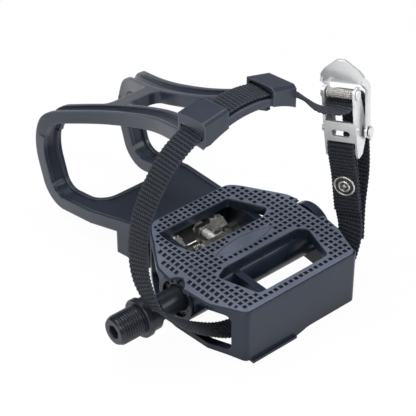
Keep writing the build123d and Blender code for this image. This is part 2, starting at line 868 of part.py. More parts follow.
# Clip bolts with hex heads inside the front window, their toothed washers and nuts
washer_face_y = front_inner_y
head_face_y = washer_face_y - lock_washer_width
bolt_end_y = clip_start_y + clip_flange_thickness + clip_nut_width + seat_gap
with BuildPart() as clip_bolts:
    for x in bolt_xs:
        with BuildSketch(facing_rear(bolt_end_y)):
            with Locations((x, clip_bolt_z)):
                Circle(clip_bolt_radius)
        extrude(amount=bolt_end_y - head_face_y)
        with BuildSketch(facing_rear(head_face_y)):
            with Locations((x, clip_bolt_z)):
                RegularPolygon(radius=clip_bolt_flats / 2, side_count=6, major_radius=False)
        extrude(amount=clip_bolt_head)
save(clip_bolts.part, "clip_bolts")
with BuildPart() as clip_lock_washers:
    for x in bolt_xs:
        with BuildSketch(facing_rear(washer_face_y)):
            with Locations((x, clip_bolt_z)):
                Circle(lock_washer_radius)
                Circle(clip_bolt_radius + seat_gap, mode=Mode.SUBTRACT)
                with PolarLocations(lock_washer_radius, lock_washer_teeth):
                    Rectangle(2 * tooth_depth, tooth_width, mode=Mode.SUBTRACT)
        extrude(amount=lock_washer_width)
save(clip_lock_washers.part, "clip_lock_washers")
with BuildPart() as clip_nuts:
    for x in bolt_xs:
        with BuildSketch(facing_rear(clip_start_y + clip_flange_thickness + clip_nut_width)):
            with Locations((x, clip_bolt_z)):
                RegularPolygon(radius=clip_nut_flats / 2, side_count=6, major_radius=False)
                Circle(clip_bolt_radius + seat_gap, mode=Mode.SUBTRACT)
        extrude(amount=clip_nut_width)
save(clip_nuts.part, "clip_nuts")

# Buckle frame of reference: x along the roller, y up the buckle, z out of its face
heading = radians(buckle_heading)
lean = radians(buckle_lean)
level = Vector(cos(heading), sin(heading), 0)
face_out = level.cross(Vector(0, 0, 1))
up_buckle = Vector(0, 0, 1) * cos(lean) - level * sin(lean)
along_roller = up_buckle.cross(face_out)
buckle = Plane(origin=roller_centre, x_dir=along_roller, z_dir=face_out)


def buckle_point(x, y, z):
    """Place in the part's frame of a place on the buckle."""
    return buckle.from_local_coords(Vector(x, y, z))


def buckle_side(x):
    """Plane square to the roller at x, with the buckle's y to its right and its z up."""
    return Plane(origin=buckle_point(x, 0, 0), x_dir=up_buckle, z_dir=along_roller)


with BuildPart() as buckle_frame:
    with BuildSketch(buckle.offset(frame_face - sheet)) as plate:
        with Locations((0, (frame_plate_top + frame_bottom) / 2)):
            Rectangle(2 * frame_half, frame_plate_top - frame_bottom)
        fillet(plate.vertices(), sheet)
        with Locations((0, emboss_centre)):
            SlotOverall(emboss_length, emboss_height, mode=Mode.SUBTRACT)
        with Locations((0, strap_slot_top - strap_slot_height / 2)):
            Rectangle(2 * strap_slot_half, strap_slot_height, mode=Mode.SUBTRACT)
    extrude(amount=sheet)
    for x in (-frame_half, frame_half - sheet):
        with BuildSketch(buckle_side(x)) as cheek:
            with BuildLine():
                Polyline(
                    (frame_top, -frame_top),
                    (frame_top, frame_top),
                    (frame_plate_top, frame_face),
                    (frame_bottom - ear_drop, frame_face),
                    (frame_bottom - ear_drop, -sheet),
                    (lever_pin_y - frame_top, lever_pin_z - frame_top),
                    (lever_pin_y + frame_top, lever_pin_z - frame_top),
                    close=True,
                )
            make_face()
            fillet(cheek.vertices(), sheet)
            Circle(roller_pin_radius + seat_gap, mode=Mode.SUBTRACT)
            with Locations((lever_pin_y, lever_pin_z)):
                Circle(lever_pin_radius + seat_gap, mode=Mode.SUBTRACT)
        extrude(amount=sheet)
save(buckle_frame.part, "buckle_frame")

roller_half = frame_half - sheet - moving_gap
with BuildPart() as buckle_roller:
    with BuildSketch(buckle_side(-roller_half)):
        Circle(roller_radius)
        with PolarLocations(roller_radius, roller_ribs):
            Circle(roller_rib_depth, mode=Mode.SUBTRACT)
        Circle(roller_pin_radius + running_gap, mode=Mode.SUBTRACT)
    extrude(amount=2 * roller_half)
save(buckle_roller.part, "buckle_roller")

with BuildPart() as roller_pin:
    with BuildSketch(buckle_side(-frame_half)):
        Circle(roller_pin_radius)
    extrude(amount=2 * frame_half)
    for x in (-frame_half - pin_head_width, frame_half):
        with BuildSketch(buckle_side(x)):
            Circle(pin_head_radius)
        extrude(amount=pin_head_width)
save(roller_pin.part, "roller_pin")

arm_in = frame_half + pin_head_width + lever_gap
arm_out = arm_in + sheet
with BuildPart() as lever_pin:
    with BuildSketch(buckle_side(-arm_out)):
        with Locations((lever_pin_y, lever_pin_z)):
            Circle(lever_pin_radius)
    extrude(amount=2 * arm_out)
    for x in (-arm_out - lever_gap - pin_head_width, arm_out + lever_gap):
        with BuildSketch(buckle_side(x)):
            with Locations((lever_pin_y, lever_pin_z)):
                Circle(pin_head_radius)
        extrude(amount=pin_head_width)
        with BuildSketch(buckle_side(min(x, arm_out))):
            with Locations((lever_pin_y, lever_pin_z)):
                Circle(lever_pin_radius)
        extrude(amount=lever_gap + pin_head_width)
save(lever_pin.part, "lever_pin")

with BuildPart() as buckle_lever:
    for x in (-arm_out, arm_in):
        with BuildSketch(buckle_side(x)):
            with BuildLine():
                FilletPolyline(
                    (lever_tail_y, lever_tail_z),
                    (lever_pin_y, lever_pin_z),
                    (lever_elbow_y, lever_elbow_z),
                    (lever_top_y, lever_top_z),
                    radius=lever_arm_width / 2,
                )
            trace(line_width=lever_arm_width)
            with Locations((lever_pin_y, lever_pin_z)):
                Circle(lever_arm_width / 2 + sheet)
                Circle(lever_pin_radius + running_gap, mode=Mode.SUBTRACT)
        extrude(amount=sheet)
    with BuildSketch(buckle.offset(lever_top_z - paddle_thickness)) as paddle:
        with BuildLine():
            Polyline(
                (-arm_out, lever_top_y - lever_arm_width / 2),
                (arm_out, lever_top_y - lever_arm_width / 2),
                (arm_out, lever_top_y + lever_arm_width / 2),
                (paddle_half, lever_top_y + paddle_height / 2),
                (paddle_tip_half, lever_top_y + paddle_height),
                (-paddle_tip_half, lever_top_y + paddle_height),
                (-paddle_half, lever_top_y + paddle_height / 2),
                (-arm_out, lever_top_y + lever_arm_width / 2),
                close=True,
            )
        make_face()
        fillet(paddle.vertices(), sheet)
    extrude(amount=paddle_thickness)
save(buckle_lever.part, "buckle_lever")

# Strap: one ribbon from its sewn-back end, round the body and over the arch, to its free tail
half_thick = strap_thickness / 2
front_layer = frame_face + half_thick + strap_lift
back_layer = frame_face - sheet - half_thick - strap_lift
near_layer = back_layer + strap_thickness + strap_lift
slot_bottom_y = strap_slot_top - strap_slot_height
fold_y = strap_slot_top - half_thick - strap_lift
loop_y = slot_bottom_y - strap_lift
fold_middle = (front_layer + back_layer) / 2
fold_run = [
    (strap_end_y, near_layer),
    (layers_meet_y, near_layer),
    (frame_bottom - strap_thickness, front_layer),
    (loop_y, front_layer),
    (fold_y - strap_lift, front_layer - half_thick),
    (fold_y, fold_middle),
    (fold_y - strap_lift, back_layer + half_thick),
    (loop_y, back_layer),
    (frame_bottom - strap_thickness, back_layer),
    (layers_meet_y, back_layer),
    (main_end_y, back_layer),
]
arch_run = []
for step in range(arch_steps + 1):
    x = arch_in_x - strap_lift + 2 * (arch_half + strap_lift) * step / arch_steps
    arch_run.append((x, strap_middle_y, strap_over_arch(x)))
to_rear = Vector(0, -1, 0)
strap_route = []
for y, z in fold_run:
    strap_route.append((buckle_point(0, y, z), along_roller))
for centre, width_way in outer_run + under_run + inboard_run:
    strap_route.append((Vector(*centre), Vector(*width_way)))
for centre in arch_run:
    strap_route.append((Vector(*centre), to_rear))
for centre, width_way in free_run:
    strap_route.append((Vector(*centre), Vector(*width_way)))
for centre, way in entry_run:
    turned = along_roller * way[0] + up_buckle * way[1] + face_out * way[2]
    strap_route.append((buckle_point(*centre), turned))
for centre, width_way in tail_run:
    strap_route.append((Vector(*centre), Vector(*width_way)))
with BuildPart() as strap:
    last = len(strap_route) - 1
    for index, (centre, width_way) in enumerate(strap_route):
        onward = strap_route[min(index + 1, last)][0] - strap_route[max(index - 1, 0)][0]
        sideways = width_way.normalized()
        forward = onward - sideways * onward.dot(sideways)
        with BuildSketch(Plane(origin=centre, x_dir=sideways, z_dir=forward)):
            Rectangle(strap_width, strap_thickness)
    loft(ruled=True)
    with BuildSketch(buckle):
        with Locations((0, -rivet_drop)):
            Circle(rivet_post_radius + seat_gap)
    extrude(amount=2 * frame_face, mode=Mode.SUBTRACT)
save(strap.part, "strap")

# Snap rivet: ringed cap in front, plain cap behind, and the post between them
front_cap_z = near_layer + half_thick + running_gap
back_cap_z = back_layer - half_thick - running_gap
with BuildPart() as snap_rivet:
    for z, height, radius in (
        (front_cap_z, rivet_cap_height / 2, rivet_cap_radius),
        (front_cap_z, rivet_cap_height, rivet_ring_radius),
        (back_cap_z - rivet_cap_height / 2, rivet_cap_height / 2, rivet_back_radius),
        (back_cap_z, front_cap_z - back_cap_z, rivet_post_radius),
    ):
        with BuildSketch(buckle.offset(z)):
            with Locations((0, -rivet_drop)):
                Circle(radius)
        extrude(amount=height)
    with BuildSketch(buckle.offset(front_cap_z + rivet_cap_height)):
        with Locations((0, -rivet_drop)):
            Circle(rivet_dimple_radius)
    extrude(amount=-rivet_dimple_depth, mode=Mode.SUBTRACT)
save(snap_rivet.part, "snap_rivet")

# Cleat binding: pin, springs, hinged jaw with its bolt and plate, fixed claw
lug_outer = lug_half + lug_thickness
with BuildPart() as jaw_pin:
    with BuildSketch(across(body_middle_x - lug_outer)):
        with Locations((jaw_pin_y, jaw_pin_z)):
            Circle(jaw_pin_radius)
    extrude(amount=2 * lug_outer)
save(jaw_pin.part, "jaw_pin")

with BuildPart() as jaw_springs:
    for side in (-1, 1):
        for coil in range(spring_coils):
            x = body_middle_x + side * spring_offset + (coil - (spring_coils - 1) / 2) * spring_pitch
            with Locations(Location((x, jaw_pin_y, jaw_pin_z), (0, 90, 0))):
                Torus(spring_inner + spring_wire, spring_wire)
save(jaw_springs.part, "jaw_springs")

with BuildPart() as binding_jaw:
    for x, width in (
        (body_middle_x - jaw_half, jaw_ear_width),
        (body_middle_x - jaw_tab_half, 2 * jaw_tab_half),
        (body_middle_x + jaw_half - jaw_ear_width, jaw_ear_width),
    ):
        with BuildSketch(across(x)):
            with Locations((jaw_pin_y, jaw_pin_z)):
                Circle(jaw_ear_radius)
            with BuildLine():
                Line((jaw_pin_y, jaw_pin_z), (jaw_knee_y, jaw_knee_z))
            trace(line_width=jaw_ear_radius)
        extrude(amount=width)
    with BuildSketch(across(body_middle_x - jaw_half)):
        with BuildLine():
            Line((jaw_knee_y + jaw_plate_thickness / 2, jaw_knee_z), (jaw_lip_y, jaw_lip_z))
        trace(line_width=jaw_plate_thickness)
    extrude(amount=2 * jaw_half)
    with BuildSketch(across(body_middle_x - jaw_tab_half)):
        with BuildLine():
            Polyline(
                (jaw_pin_y, jaw_pin_z),
                (jaw_tab_y, jaw_tab_foot_z),
                (jaw_tab_y, jaw_tab_top_z),
            )
        trace(line_width=jaw_plate_thickness)
    extrude(amount=2 * jaw_tab_half)
    with BuildSketch(across(body_middle_x - jaw_half)):
        with Locations((jaw_pin_y, jaw_pin_z)):
            Circle(jaw_pin_radius + running_gap)
    extrude(amount=2 * jaw_half, mode=Mode.SUBTRACT)
    with BuildSketch(facing_rear(front_y)):
        with Locations((body_middle_x, tension_bolt_z)):
            Circle(tension_bolt_radius + seat_gap)
    extrude(amount=front_y, mode=Mode.SUBTRACT)
    with BuildSketch(Plane.XY.offset(jaw_lip_z - jaw_ear_radius)) as notch:
        with Locations((body_middle_x, jaw_lip_y)):
            Rectangle(2 * jaw_notch_half, 2 * jaw_notch_depth)
        fillet(notch.vertices(), jaw_plate_thickness / 2)
    extrude(amount=2 * jaw_ear_radius, mode=Mode.SUBTRACT)
save(binding_jaw.part, "binding_jaw")

tab_face_y = jaw_tab_y + jaw_plate_thickness / 2
with BuildPart() as tension_bolt:
    with BuildSketch(facing_rear(tab_face_y)):
        with Locations((body_middle_x, tension_bolt_z)):
            Circle(tension_bolt_radius)
    extrude(amount=tab_face_y - tension_plate_y)
    with BuildSketch(facing_rear(tab_face_y + tension_bolt_head)):
        with Locations((body_middle_x, tension_bolt_z)):
            RegularPolygon(radius=tension_bolt_flats / 2, side_count=6, major_radius=False)
    extrude(amount=tension_bolt_head)
save(tension_bolt.part, "tension_bolt")
with BuildPart() as tension_plate:
    with BuildSketch(facing_rear(tension_plate_y + tension_plate_width)):
        with Locations((body_middle_x, tension_bolt_z)):
            SlotOverall(2 * tension_plate_half, tension_plate_height)
            Circle(tension_bolt_radius + seat_gap, mode=Mode.SUBTRACT)
    extrude(amount=tension_plate_width)
save(tension_plate.part, "tension_plate")

with BuildPart() as fixed_claw:
    with BuildSketch(Plane.XY.offset(claw_top_z - claw_thickness)) as claw_plan:
        claw_rear_y = rear_y + wall + seat_gap
        with Locations((body_middle_x, (claw_rear_y + claw_front_y) / 2)):
            Rectangle(2 * claw_half, claw_front_y - claw_rear_y)
        fillet(claw_plan.vertices(), claw_thickness)
        with Locations((body_middle_x, claw_front_y)):
            SlotOverall(2 * claw_notch_half, claw_notch_half, mode=Mode.SUBTRACT)
        for side in (-1, 1):
            with Locations((body_middle_x + side * claw_post_spacing / 2, claw_post_y)):
                Circle(claw_bolt_radius + seat_gap, mode=Mode.SUBTRACT)
    extrude(amount=claw_thickness)
save(fixed_claw.part, "fixed_claw")
claw_bottom_z = claw_top_z - claw_thickness
with BuildPart() as claw_bolts:
    for side in (-1, 1):
        spot = (body_middle_x + side * claw_post_spacing / 2, claw_post_y)
        with BuildSketch(Plane.XY.offset(claw_bottom_z)):
            with Locations(spot):
                Circle(claw_bolt_radius)
        extrude(amount=claw_thickness + claw_bolt_depth - seat_gap)
        with BuildSketch(Plane.XY.offset(claw_bottom_z)):
            with Locations(spot):
                Circle(claw_bolt_head_radius)
        extrude(amount=-claw_bolt_head)
        with BuildSketch(Plane.XY.offset(claw_bottom_z - claw_bolt_head)):
            with Locations(spot):
                RegularPolygon(radius=claw_bolt_radius, side_count=6, major_radius=False)
        extrude(amount=claw_bolt_head / 2, mode=Mode.SUBTRACT)
save(claw_bolts.part, "claw_bolts")
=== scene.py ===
import math
import bpy
import numpy as np
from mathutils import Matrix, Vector
from mathutils.geometry import delaunay_2d_cdt


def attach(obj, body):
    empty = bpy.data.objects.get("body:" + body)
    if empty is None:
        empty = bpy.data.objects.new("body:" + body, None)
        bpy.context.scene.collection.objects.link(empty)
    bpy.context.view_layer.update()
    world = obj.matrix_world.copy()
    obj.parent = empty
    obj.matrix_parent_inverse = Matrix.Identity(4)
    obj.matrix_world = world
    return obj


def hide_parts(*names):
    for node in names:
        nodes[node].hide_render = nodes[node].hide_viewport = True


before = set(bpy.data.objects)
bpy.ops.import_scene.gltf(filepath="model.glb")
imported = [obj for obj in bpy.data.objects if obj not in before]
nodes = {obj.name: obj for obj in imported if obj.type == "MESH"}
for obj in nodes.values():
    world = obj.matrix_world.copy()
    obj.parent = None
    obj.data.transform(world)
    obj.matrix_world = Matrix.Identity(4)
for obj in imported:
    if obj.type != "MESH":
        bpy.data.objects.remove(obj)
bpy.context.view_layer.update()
mm = 0.001
print("frame loaded, nodes:", len(nodes))


# points in mm become a smooth mesh object at the origin, in metres; faces are rows of vertex numbers
def putMesh(name, verts, faces, uv=None, sharp=40):
    mesh = bpy.data.meshes.new(name)
    mesh.from_pydata((np.asarray(verts, float) * mm).tolist(), [], [[int(k) for k in face] for face in faces])
    mesh.update()
    mesh.polygons.foreach_set("use_smooth", np.ones(len(mesh.polygons), dtype=bool))
    mesh.set_sharp_from_angle(angle=math.radians(sharp))
    if uv is not None:
        layer = mesh.uv_layers.new(name="along")
        corner = np.empty(len(mesh.loops), dtype=np.int32)
        mesh.loops.foreach_get("vertex_index", corner)
        layer.data.foreach_set("uv", np.asarray(uv, np.float32)[corner].ravel())
    piece = bpy.data.objects.new(name, mesh)
    bpy.context.scene.collection.objects.link(piece)
    return piece


# quads of a grid of points whose last column joins the first
def gridFaces(rows, cols):
    row, col = np.meshgrid(np.arange(rows - 1), np.arange(cols), indexing="ij")
    after = (col + 1) % cols
    corners = [row * cols + col, row * cols + after, (row + 1) * cols + after, (row + 1) * cols + col]
    return np.stack(corners, -1).reshape(-1, 4)


# the same quads, with a flat face on the first row and on the last
def tubeFaces(rows, cols):
    ends = [list(range(cols))[::-1], [(rows - 1) * cols + k for k in range(cols)]]
    return gridFaces(rows, cols).tolist() + ends


# quads from upper loops of one size down to the lower loops that follow them in the list of points
def loopWalls(start, count, size):
    k = np.arange(count)
    after = k // size * size + (k + 1) % size
    return start + np.stack([k, k + count, after + count, after], 1)


# angles of a full turn, without the last one that would repeat the first
def fullTurn(count):
    return np.linspace(0, 2 * np.pi, count, endpoint=False)


def unitRows(rows):
    return rows / np.linalg.norm(rows, axis=1)[:, None]


# a smooth line through the points, in even steps: each span is a cubic whose end slopes come from its
# neighbours, and what follows x, y, z in a row is carried along with them
def smoothLine(points, step, samples=6000):
    p = np.asarray(points, float)
    gap = np.sqrt(np.linalg.norm(np.diff(p[:, :3], axis=0), axis=1))
    t = np.concatenate([[0], np.cumsum(gap)])
    slope = np.diff(p, axis=0) / gap[:, None]
    inner = (slope[:-1] * gap[1:, None] + slope[1:] * gap[:-1, None]) / (gap[1:] + gap[:-1])[:, None]
    m = np.vstack([slope[:1], inner, slope[-1:]])
    fine = np.linspace(0, t[-1], samples)
    k = np.clip(np.searchsorted(t, fine, side="right") - 1, 0, len(gap) - 1)
    h = gap[k][:, None]
    s = ((fine - t[k]) / gap[k])[:, None]
    line = ((2 * s**3 - 3 * s**2 + 1) * p[k] + (s**3 - 2 * s**2 + s) * h * m[k]
            + (3 * s**2 - 2 * s**3) * p[k + 1] + (s**3 - s**2) * h * m[k + 1])
    run = np.concatenate([[0], np.cumsum(np.linalg.norm(np.diff(line[:, :3], axis=0), axis=1))])
    even = np.linspace(0, run[-1], int(run[-1] / step))
    return np.stack([np.interp(even, run, column) for column in line.T], 1), even


# gives each socket of a node its value, or links it to the output that feeds it
def feed(tree, node, sockets):
    for key, value in sockets.items():
        if isinstance(value, bpy.types.NodeSocket):
            tree.links.new(value, node.inputs[key])
        else:
            node.inputs[key].default_value = value


# one new node with its properties and sockets
def addNode(tree, kind, sockets=None, **props):
    made = tree.nodes.new(kind)
    for key, value in props.items():
        setattr(made, key, value)
    feed(tree, made, sockets or {})
    return made


# noise at a place, as one value
def addNoise(tree, place, scale, detail):
    sockets = {"Vector": place, "Scale": scale, "Detail": detail}
    return addNode(tree, "ShaderNodeTexNoise", sockets).outputs["Fac"]


# a Math node's result; the inputs are given in their order
def addMath(tree, operation, *inputs):
    return addNode(tree, "ShaderNodeMath", dict(enumerate(inputs)), operation=operation).outputs["Value"]


# sine of a length, one turn for every pitch
def addWave(tree, length, pitch):
    return addMath(tree, "SINE", addMath(tree, "MULTIPLY", length, 2 * math.pi / pitch))


# a value moved from one range to another, and held at the ends of it
def addRange(tree, value, fromRange, toRange=(0.0, 1.0)):
    sockets = {"Value": value, "From Min": fromRange[0], "From Max": fromRange[1],
               "To Min": toRange[0], "To Max": toRange[1]}
    return addNode(tree, "ShaderNodeMapRange", sockets).outputs["Result"]


# two colours blended by a share
def addMix(tree, share, first, second, blend="MIX"):
    sockets = {"Factor": share, "A": first, "B": second}
    return addNode(tree, "ShaderNodeMix", sockets, data_type="RGBA", blend_type=blend).outputs["Result"]


# colour ramp of two stops, each a position and a colour
def addRamp(tree, amount, stops):
    ramp = addNode(tree, "ShaderNodeValToRGB", {"Fac": amount})
    for element, (position, colour) in zip(ramp.color_ramp.elements, stops):
        element.position = position
        element.color = (*colour, 1)
    return ramp.outputs["Color"]


# what all mottled finishes share; heights and distances in metres
mottle = {"range": (0.3, 0.7), "cloudDetail": 4.0, "grainDetail": 2.0, "grainHeight": 0.0002,
          "coatRough": 0.12, "edgeSamples": 6, "edgeTurn": (0.98, 0.8), "edgeShare": (0.0, 0.7),
          "hollowSamples": 8, "hollowOpen": (0.25, 0.8), "hollowTone": (0.12, 1.0), "grooveHeight": 0.00015}


# edges, part wear and part painted highlight: the colour goes over to a paler one where the rounded normal
# leaves the flat one
def wearAndHighlightEdges(tree, colour, softNormal, edgeWearAndHighlight):
    flat = addNode(tree, "ShaderNodeNewGeometry").outputs["Normal"]
    turn = addNode(tree, "ShaderNodeVectorMath", {0: softNormal, 1: flat}, operation="DOT_PRODUCT")
    share = addRange(tree, turn.outputs["Value"], mottle["edgeTurn"], mottle["edgeShare"])
    return addMix(tree, share, colour, (*edgeWearAndHighlight, 1))


# painted shade in hollows: the colour darkens the more a place is closed in by what stands round it
def paintHollowShade(tree, colour, distance):
    samples = mottle["hollowSamples"]
    room = addNode(tree, "ShaderNodeAmbientOcclusion", {"Distance": distance}, samples=samples)
    tone = addRange(tree, room.outputs["AO"], mottle["hollowOpen"], mottle["hollowTone"])
    return addMix(tree, 1.0, colour, tone, blend="MULTIPLY")


# ring grooves square to a direction: the sine of the distance along it
def cutGrooves(tree, place, normal, along, pitch):
    reach = addNode(tree, "ShaderNodeVectorMath", {0: place, 1: tuple(along)}, operation="DOT_PRODUCT")
    wave = addWave(tree, reach.outputs["Value"], pitch * mm)
    sockets = {"Height": wave, "Normal": normal, "Strength": 1.0, "Distance": mottle["grooveHeight"]}
    return addNode(tree, "ShaderNodeBump", sockets).outputs["Normal"]


# finish with two close colours in slow clouds, a fine bump, and edges rounded by a small radius
def mottledFinish(name, dark, light, rough, metal=0.0, cloud=60.0, grain=2600.0, grainDepth=0.06, edge=0.0004,
                  edgeWearAndHighlight=None, coat=0.0, roughSpread=0.08, shine=0.5, hollowShade=0.0, groove=None):
    mat = bpy.data.materials.new(name)
    mat.use_nodes = True
    tree = mat.node_tree
    place = addNode(tree, "ShaderNodeTexCoord").outputs["Object"]
    amount = addNoise(tree, place, cloud, mottle["cloudDetail"])
    colour = addRamp(tree, amount, list(zip(mottle["range"], (dark, light))))
    roughness = addRange(tree, amount, mottle["range"], (rough - roughSpread, rough + roughSpread))
    fine = addNoise(tree, place, grain, mottle["grainDetail"])
    relief = {"Height": fine, "Strength": grainDepth, "Distance": mottle["grainHeight"]}
    if edge > 0:
        soft = addNode(tree, "ShaderNodeBevel", {"Radius": edge}, samples=mottle["edgeSamples"])
        relief["Normal"] = soft.outputs["Normal"]
        # paler edges: partly wear, partly a painted highlight
        if edgeWearAndHighlight:
            colour = wearAndHighlightEdges(tree, colour, soft.outputs["Normal"], edgeWearAndHighlight)
    # painted shade: the colour darkens in hollows
    if hollowShade > 0:
        colour = paintHollowShade(tree, colour, hollowShade)
    normal = addNode(tree, "ShaderNodeBump", relief).outputs["Normal"]
    if groove:
        normal = cutGrooves(tree, place, normal, *groove)
    feed(tree, tree.nodes["Principled BSDF"], {
        "Base Color": colour, "Roughness": roughness, "Normal": normal, "Metallic": metal,
        "Specular IOR Level": shine, "Coat Weight": coat, "Coat Roughness": mottle["coatRough"]})
    return mat


looks = {
    "bodyPaint": {"dark": (0.020, 0.027, 0.046), "light": (0.026, 0.035, 0.058), "rough": 0.34, "coat": 0.35,
                  "edgeWearAndHighlight": (0.13, 0.15, 0.21), "shine": 0.15, "hollowShade": 0.02},
    # knurl: the body's paint made paler, as a painted highlight on the ridges that catch the light
    "knurlLitPaint": {"dark": (0.120, 0.135, 0.185), "light": (0.155, 0.173, 0.230), "rough": 0.5,
                   "edge": 0.0002, "edgeWearAndHighlight": (0.30, 0.33, 0.41), "grainDepth": 0.1, "shine": 0.25},
    # near-black painted shade for the pit walls and floors
    "pitPaintedShade": {"dark": (0.006, 0.007, 0.010), "light": (0.010, 0.012, 0.017), "rough": 0.6, "edge": 0.0,
                 "shine": 0.2},
    "clipNylon": {"dark": (0.028, 0.034, 0.051), "light": (0.039, 0.047, 0.068), "rough": 0.34, "coat": 0.3,
                  "cloud": 25.0, "grain": 1800.0, "grainDepth": 0.12, "edge": 0.0014,
                  "edgeWearAndHighlight": (0.17, 0.19, 0.25), "shine": 0.3, "hollowShade": 0.006},
    "blackOxide": {"dark": (0.020, 0.023, 0.031), "light": (0.033, 0.037, 0.048), "rough": 0.3, "metal": 0.35,
                   "edge": 0.0003, "edgeWearAndHighlight": (0.13, 0.14, 0.165)},
    "rivetNickel": {"dark": (0.74, 0.72, 0.67), "light": (0.90, 0.88, 0.83), "rough": 0.26, "metal": 0.7,
                    "cloud": 180.0, "edge": 0.0, "grainDepth": 0.03},
    # dark nickel that stands in for the shade in the rivet's grooves
    "rivetGrooveShade": {"dark": (0.10, 0.095, 0.085), "light": (0.18, 0.17, 0.155), "rough": 0.35, "metal": 0.8,
                    "cloud": 180.0, "edge": 0.0, "grainDepth": 0.03},
    "ringBlack": {"dark": (0.022, 0.023, 0.027), "light": (0.034, 0.035, 0.040), "rough": 0.38,
                  "edge": 0.0003, "edgeWearAndHighlight": (0.10, 0.10, 0.11)},
    "sealRubber": {"dark": (0.012, 0.012, 0.012), "light": (0.02, 0.02, 0.02), "rough": 0.75},
    "bushBronze": {"dark": (0.45, 0.30, 0.13), "light": (0.55, 0.38, 0.18), "rough": 0.4, "metal": 1.0},
    "chromePlate": {"dark": (0.86, 0.86, 0.85), "light": (0.97, 0.97, 0.96), "rough": 0.2, "metal": 0.5,
                    "cloud": 140.0, "grainDepth": 0.03, "edge": 0.00045, "roughSpread": 0.05,
                    "hollowShade": 0.003},
    "nickelPlate": {"dark": (0.84, 0.82, 0.77), "light": (0.97, 0.95, 0.90), "rough": 0.24, "metal": 0.4,
                    "cloud": 180.0, "edge": 0.0003, "grainDepth": 0.05},
    "bearingSteel": {"dark": (0.5, 0.5, 0.52), "light": (0.62, 0.62, 0.64), "rough": 0.28, "metal": 1.0,
                     "edge": 0.0002},
    "zincPlate": {"dark": (0.20, 0.195, 0.18), "light": (0.32, 0.31, 0.29), "rough": 0.3, "metal": 0.9,
                  "cloud": 160.0, "edge": 0.0003, "grainDepth": 0.08},
}
finishes = {name: mottledFinish(name, **look) for name, look in looks.items()}

# nodes shown as they are; the roller takes its finish with the buckle, and the rest are replaced below
wearers = {
    "bodyPaint": ["pedal_body", "end_cap"],
    "ringBlack": ["lock_ring"],
    "sealRubber": ["axle_seal"],
    "bushBronze": ["inner_bush"],
    "bearingSteel": ["bearing_inner_race", "bearing_outer_race", "bearing_balls", "spindle_washer",
                     "spindle_nut"],
    "nickelPlate": ["clip_bolts", "clip_lock_washers", "clip_nuts", "tension_bolt", "claw_bolts"],
    "chromePlate": ["buckle_frame", "buckle_lever", "roller_pin", "lever_pin"],
    "zincPlate": ["jaw_pin", "binding_jaw", "tension_plate", "fixed_claw"],
}


# every slot of an object takes one finish
def dress(piece, finish):
    if not piece.data.materials:
        piece.data.materials.append(finishes[finish])
    for place in piece.material_slots:
        place.material = finishes[finish]


# a new piece takes two finishes, the second one on the marked faces
def dressTwice(piece, first, second, marked):
    piece.data.materials.append(finishes[first])
    piece.data.materials.append(finishes[second])
    piece.data.polygons.foreach_set("material_index", np.asarray(marked).astype(np.int32))


for finishName, wearerNames in wearers.items():
    for wearerName in wearerNames:
        dress(nodes[wearerName], finishName)
print("finishes made:", len(finishes))

# toe clip: the solid's own mesh, merged, with the tops of both strap guides sloping down towards the outer
# sides; the edges at roofY keep their height
clipShape = {"outboard": {"start": 76.5, "end": 90.0, "drop": 0.8, "slope": 3.4},
             "inboard": {"start": 50.5, "end": 37.0, "drop": 0.5, "slope": 2.4},
             "above": 87.55, "wallY": (-1.0, 13.0), "roofY": (-1.3, 13.3), "near": 0.01, "sharp": 28}


def makeClip():
    cs = clipShape
    source = nodes["toe_clip"].data
    place = np.empty(len(source.vertices) * 3, np.float32)
    source.vertices.foreach_get("co", place)
    place = place.reshape(-1, 3).astype(float) / mm
    first, back = np.unique(np.round(place, 3), axis=0, return_index=True, return_inverse=True)[1:]
    corner = np.empty(len(source.loops), np.int32)
    source.loops.foreach_get("vertex_index", corner)
    tris = back.ravel()[corner].reshape(-1, 3)
    tris = tris[(tris != np.roll(tris, 1, axis=1)).all(1)]
    verts = place[first]
    x, y, z = verts.T
    drop = np.zeros(len(verts))
    for guide in (cs["outboard"], cs["inboard"]):
        share = (x - guide["start"]) / (guide["end"] - guide["start"])
        drop = np.where(share > -cs["near"], guide["drop"] + guide["slope"] * share, drop)
    onWall = (y < cs["wallY"][0]) | (y > cs["wallY"][1])
    onRoof = np.abs(y[:, None] - np.array(cs["roofY"])).min(1) < cs["near"]
    verts[:, 2] -= np.where((z > cs["above"]) & onWall & ~onRoof, drop, 0.0)
    return putMesh("clipShaped", verts, tris, sharp=cs["sharp"])


clipShaped = makeClip()
dress(clipShaped, "clipNylon")
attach(clipShaped, "pedal")
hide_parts("toe_clip")
print("clip shaped")

# knurled skin on the deck and on the inboard slope: a thin plate full of square pits that follows the deck
# its paint is paler than the body's as a painted highlight, and its pit walls and floors are near black as
# painted shade
knurl = {"middleX": 64.0, "inset": 0.9, "corner": 2.6, "windowGap": 0.35, "windowCorner": 2.2, "height": 0.55,
         "sink": 0.1, "floor": 0.04, "gridX": (20.0, 108.0), "gridY": (-41.0, 42.0), "pitch": 3.05,
         "startX": 0.6, "startY": 0.2, "pit": 1.95, "taper": 0.2, "margin": 0.28, "sizes": (1.0, 0.85, 0.7),
         "moves": [(0, 0), (0.5, 0), (-0.5, 0), (0, 0.5), (0, -0.5)], "moveReach": 1.6, "topZ": 11.0,
         "fall": 3.5 / 9.8, "creaseX": 31.6, "creaseY": (-34.5, 20.0), "creaseGap": 0.15, "nearest": 1e-7,
         "sharp": 20}
deckHalf = [(23.2, 40.5), (27.5, 36.5), (41.0, 14.5), (42.2, 0.0), (40.5, -20.5), (36.8, -29.5),
            (33.5, -39.0)]
frontWindow = [(37.5, 20.0), (37.5, 31.0), (80.0, 31.0), (89.0, 13.0), (83.5, 9.5), (41.0, 9.5)]
rearWindow = [(37.5, -11.5), (44.0, -31.5), (86.0, -31.5), (92.5, -11.5), (89.0, -8.0), (44.5, -8.0)]
unitSquare = np.array([(-1, -1), (1, -1), (1, 1), (-1, 1)]) * 0.5
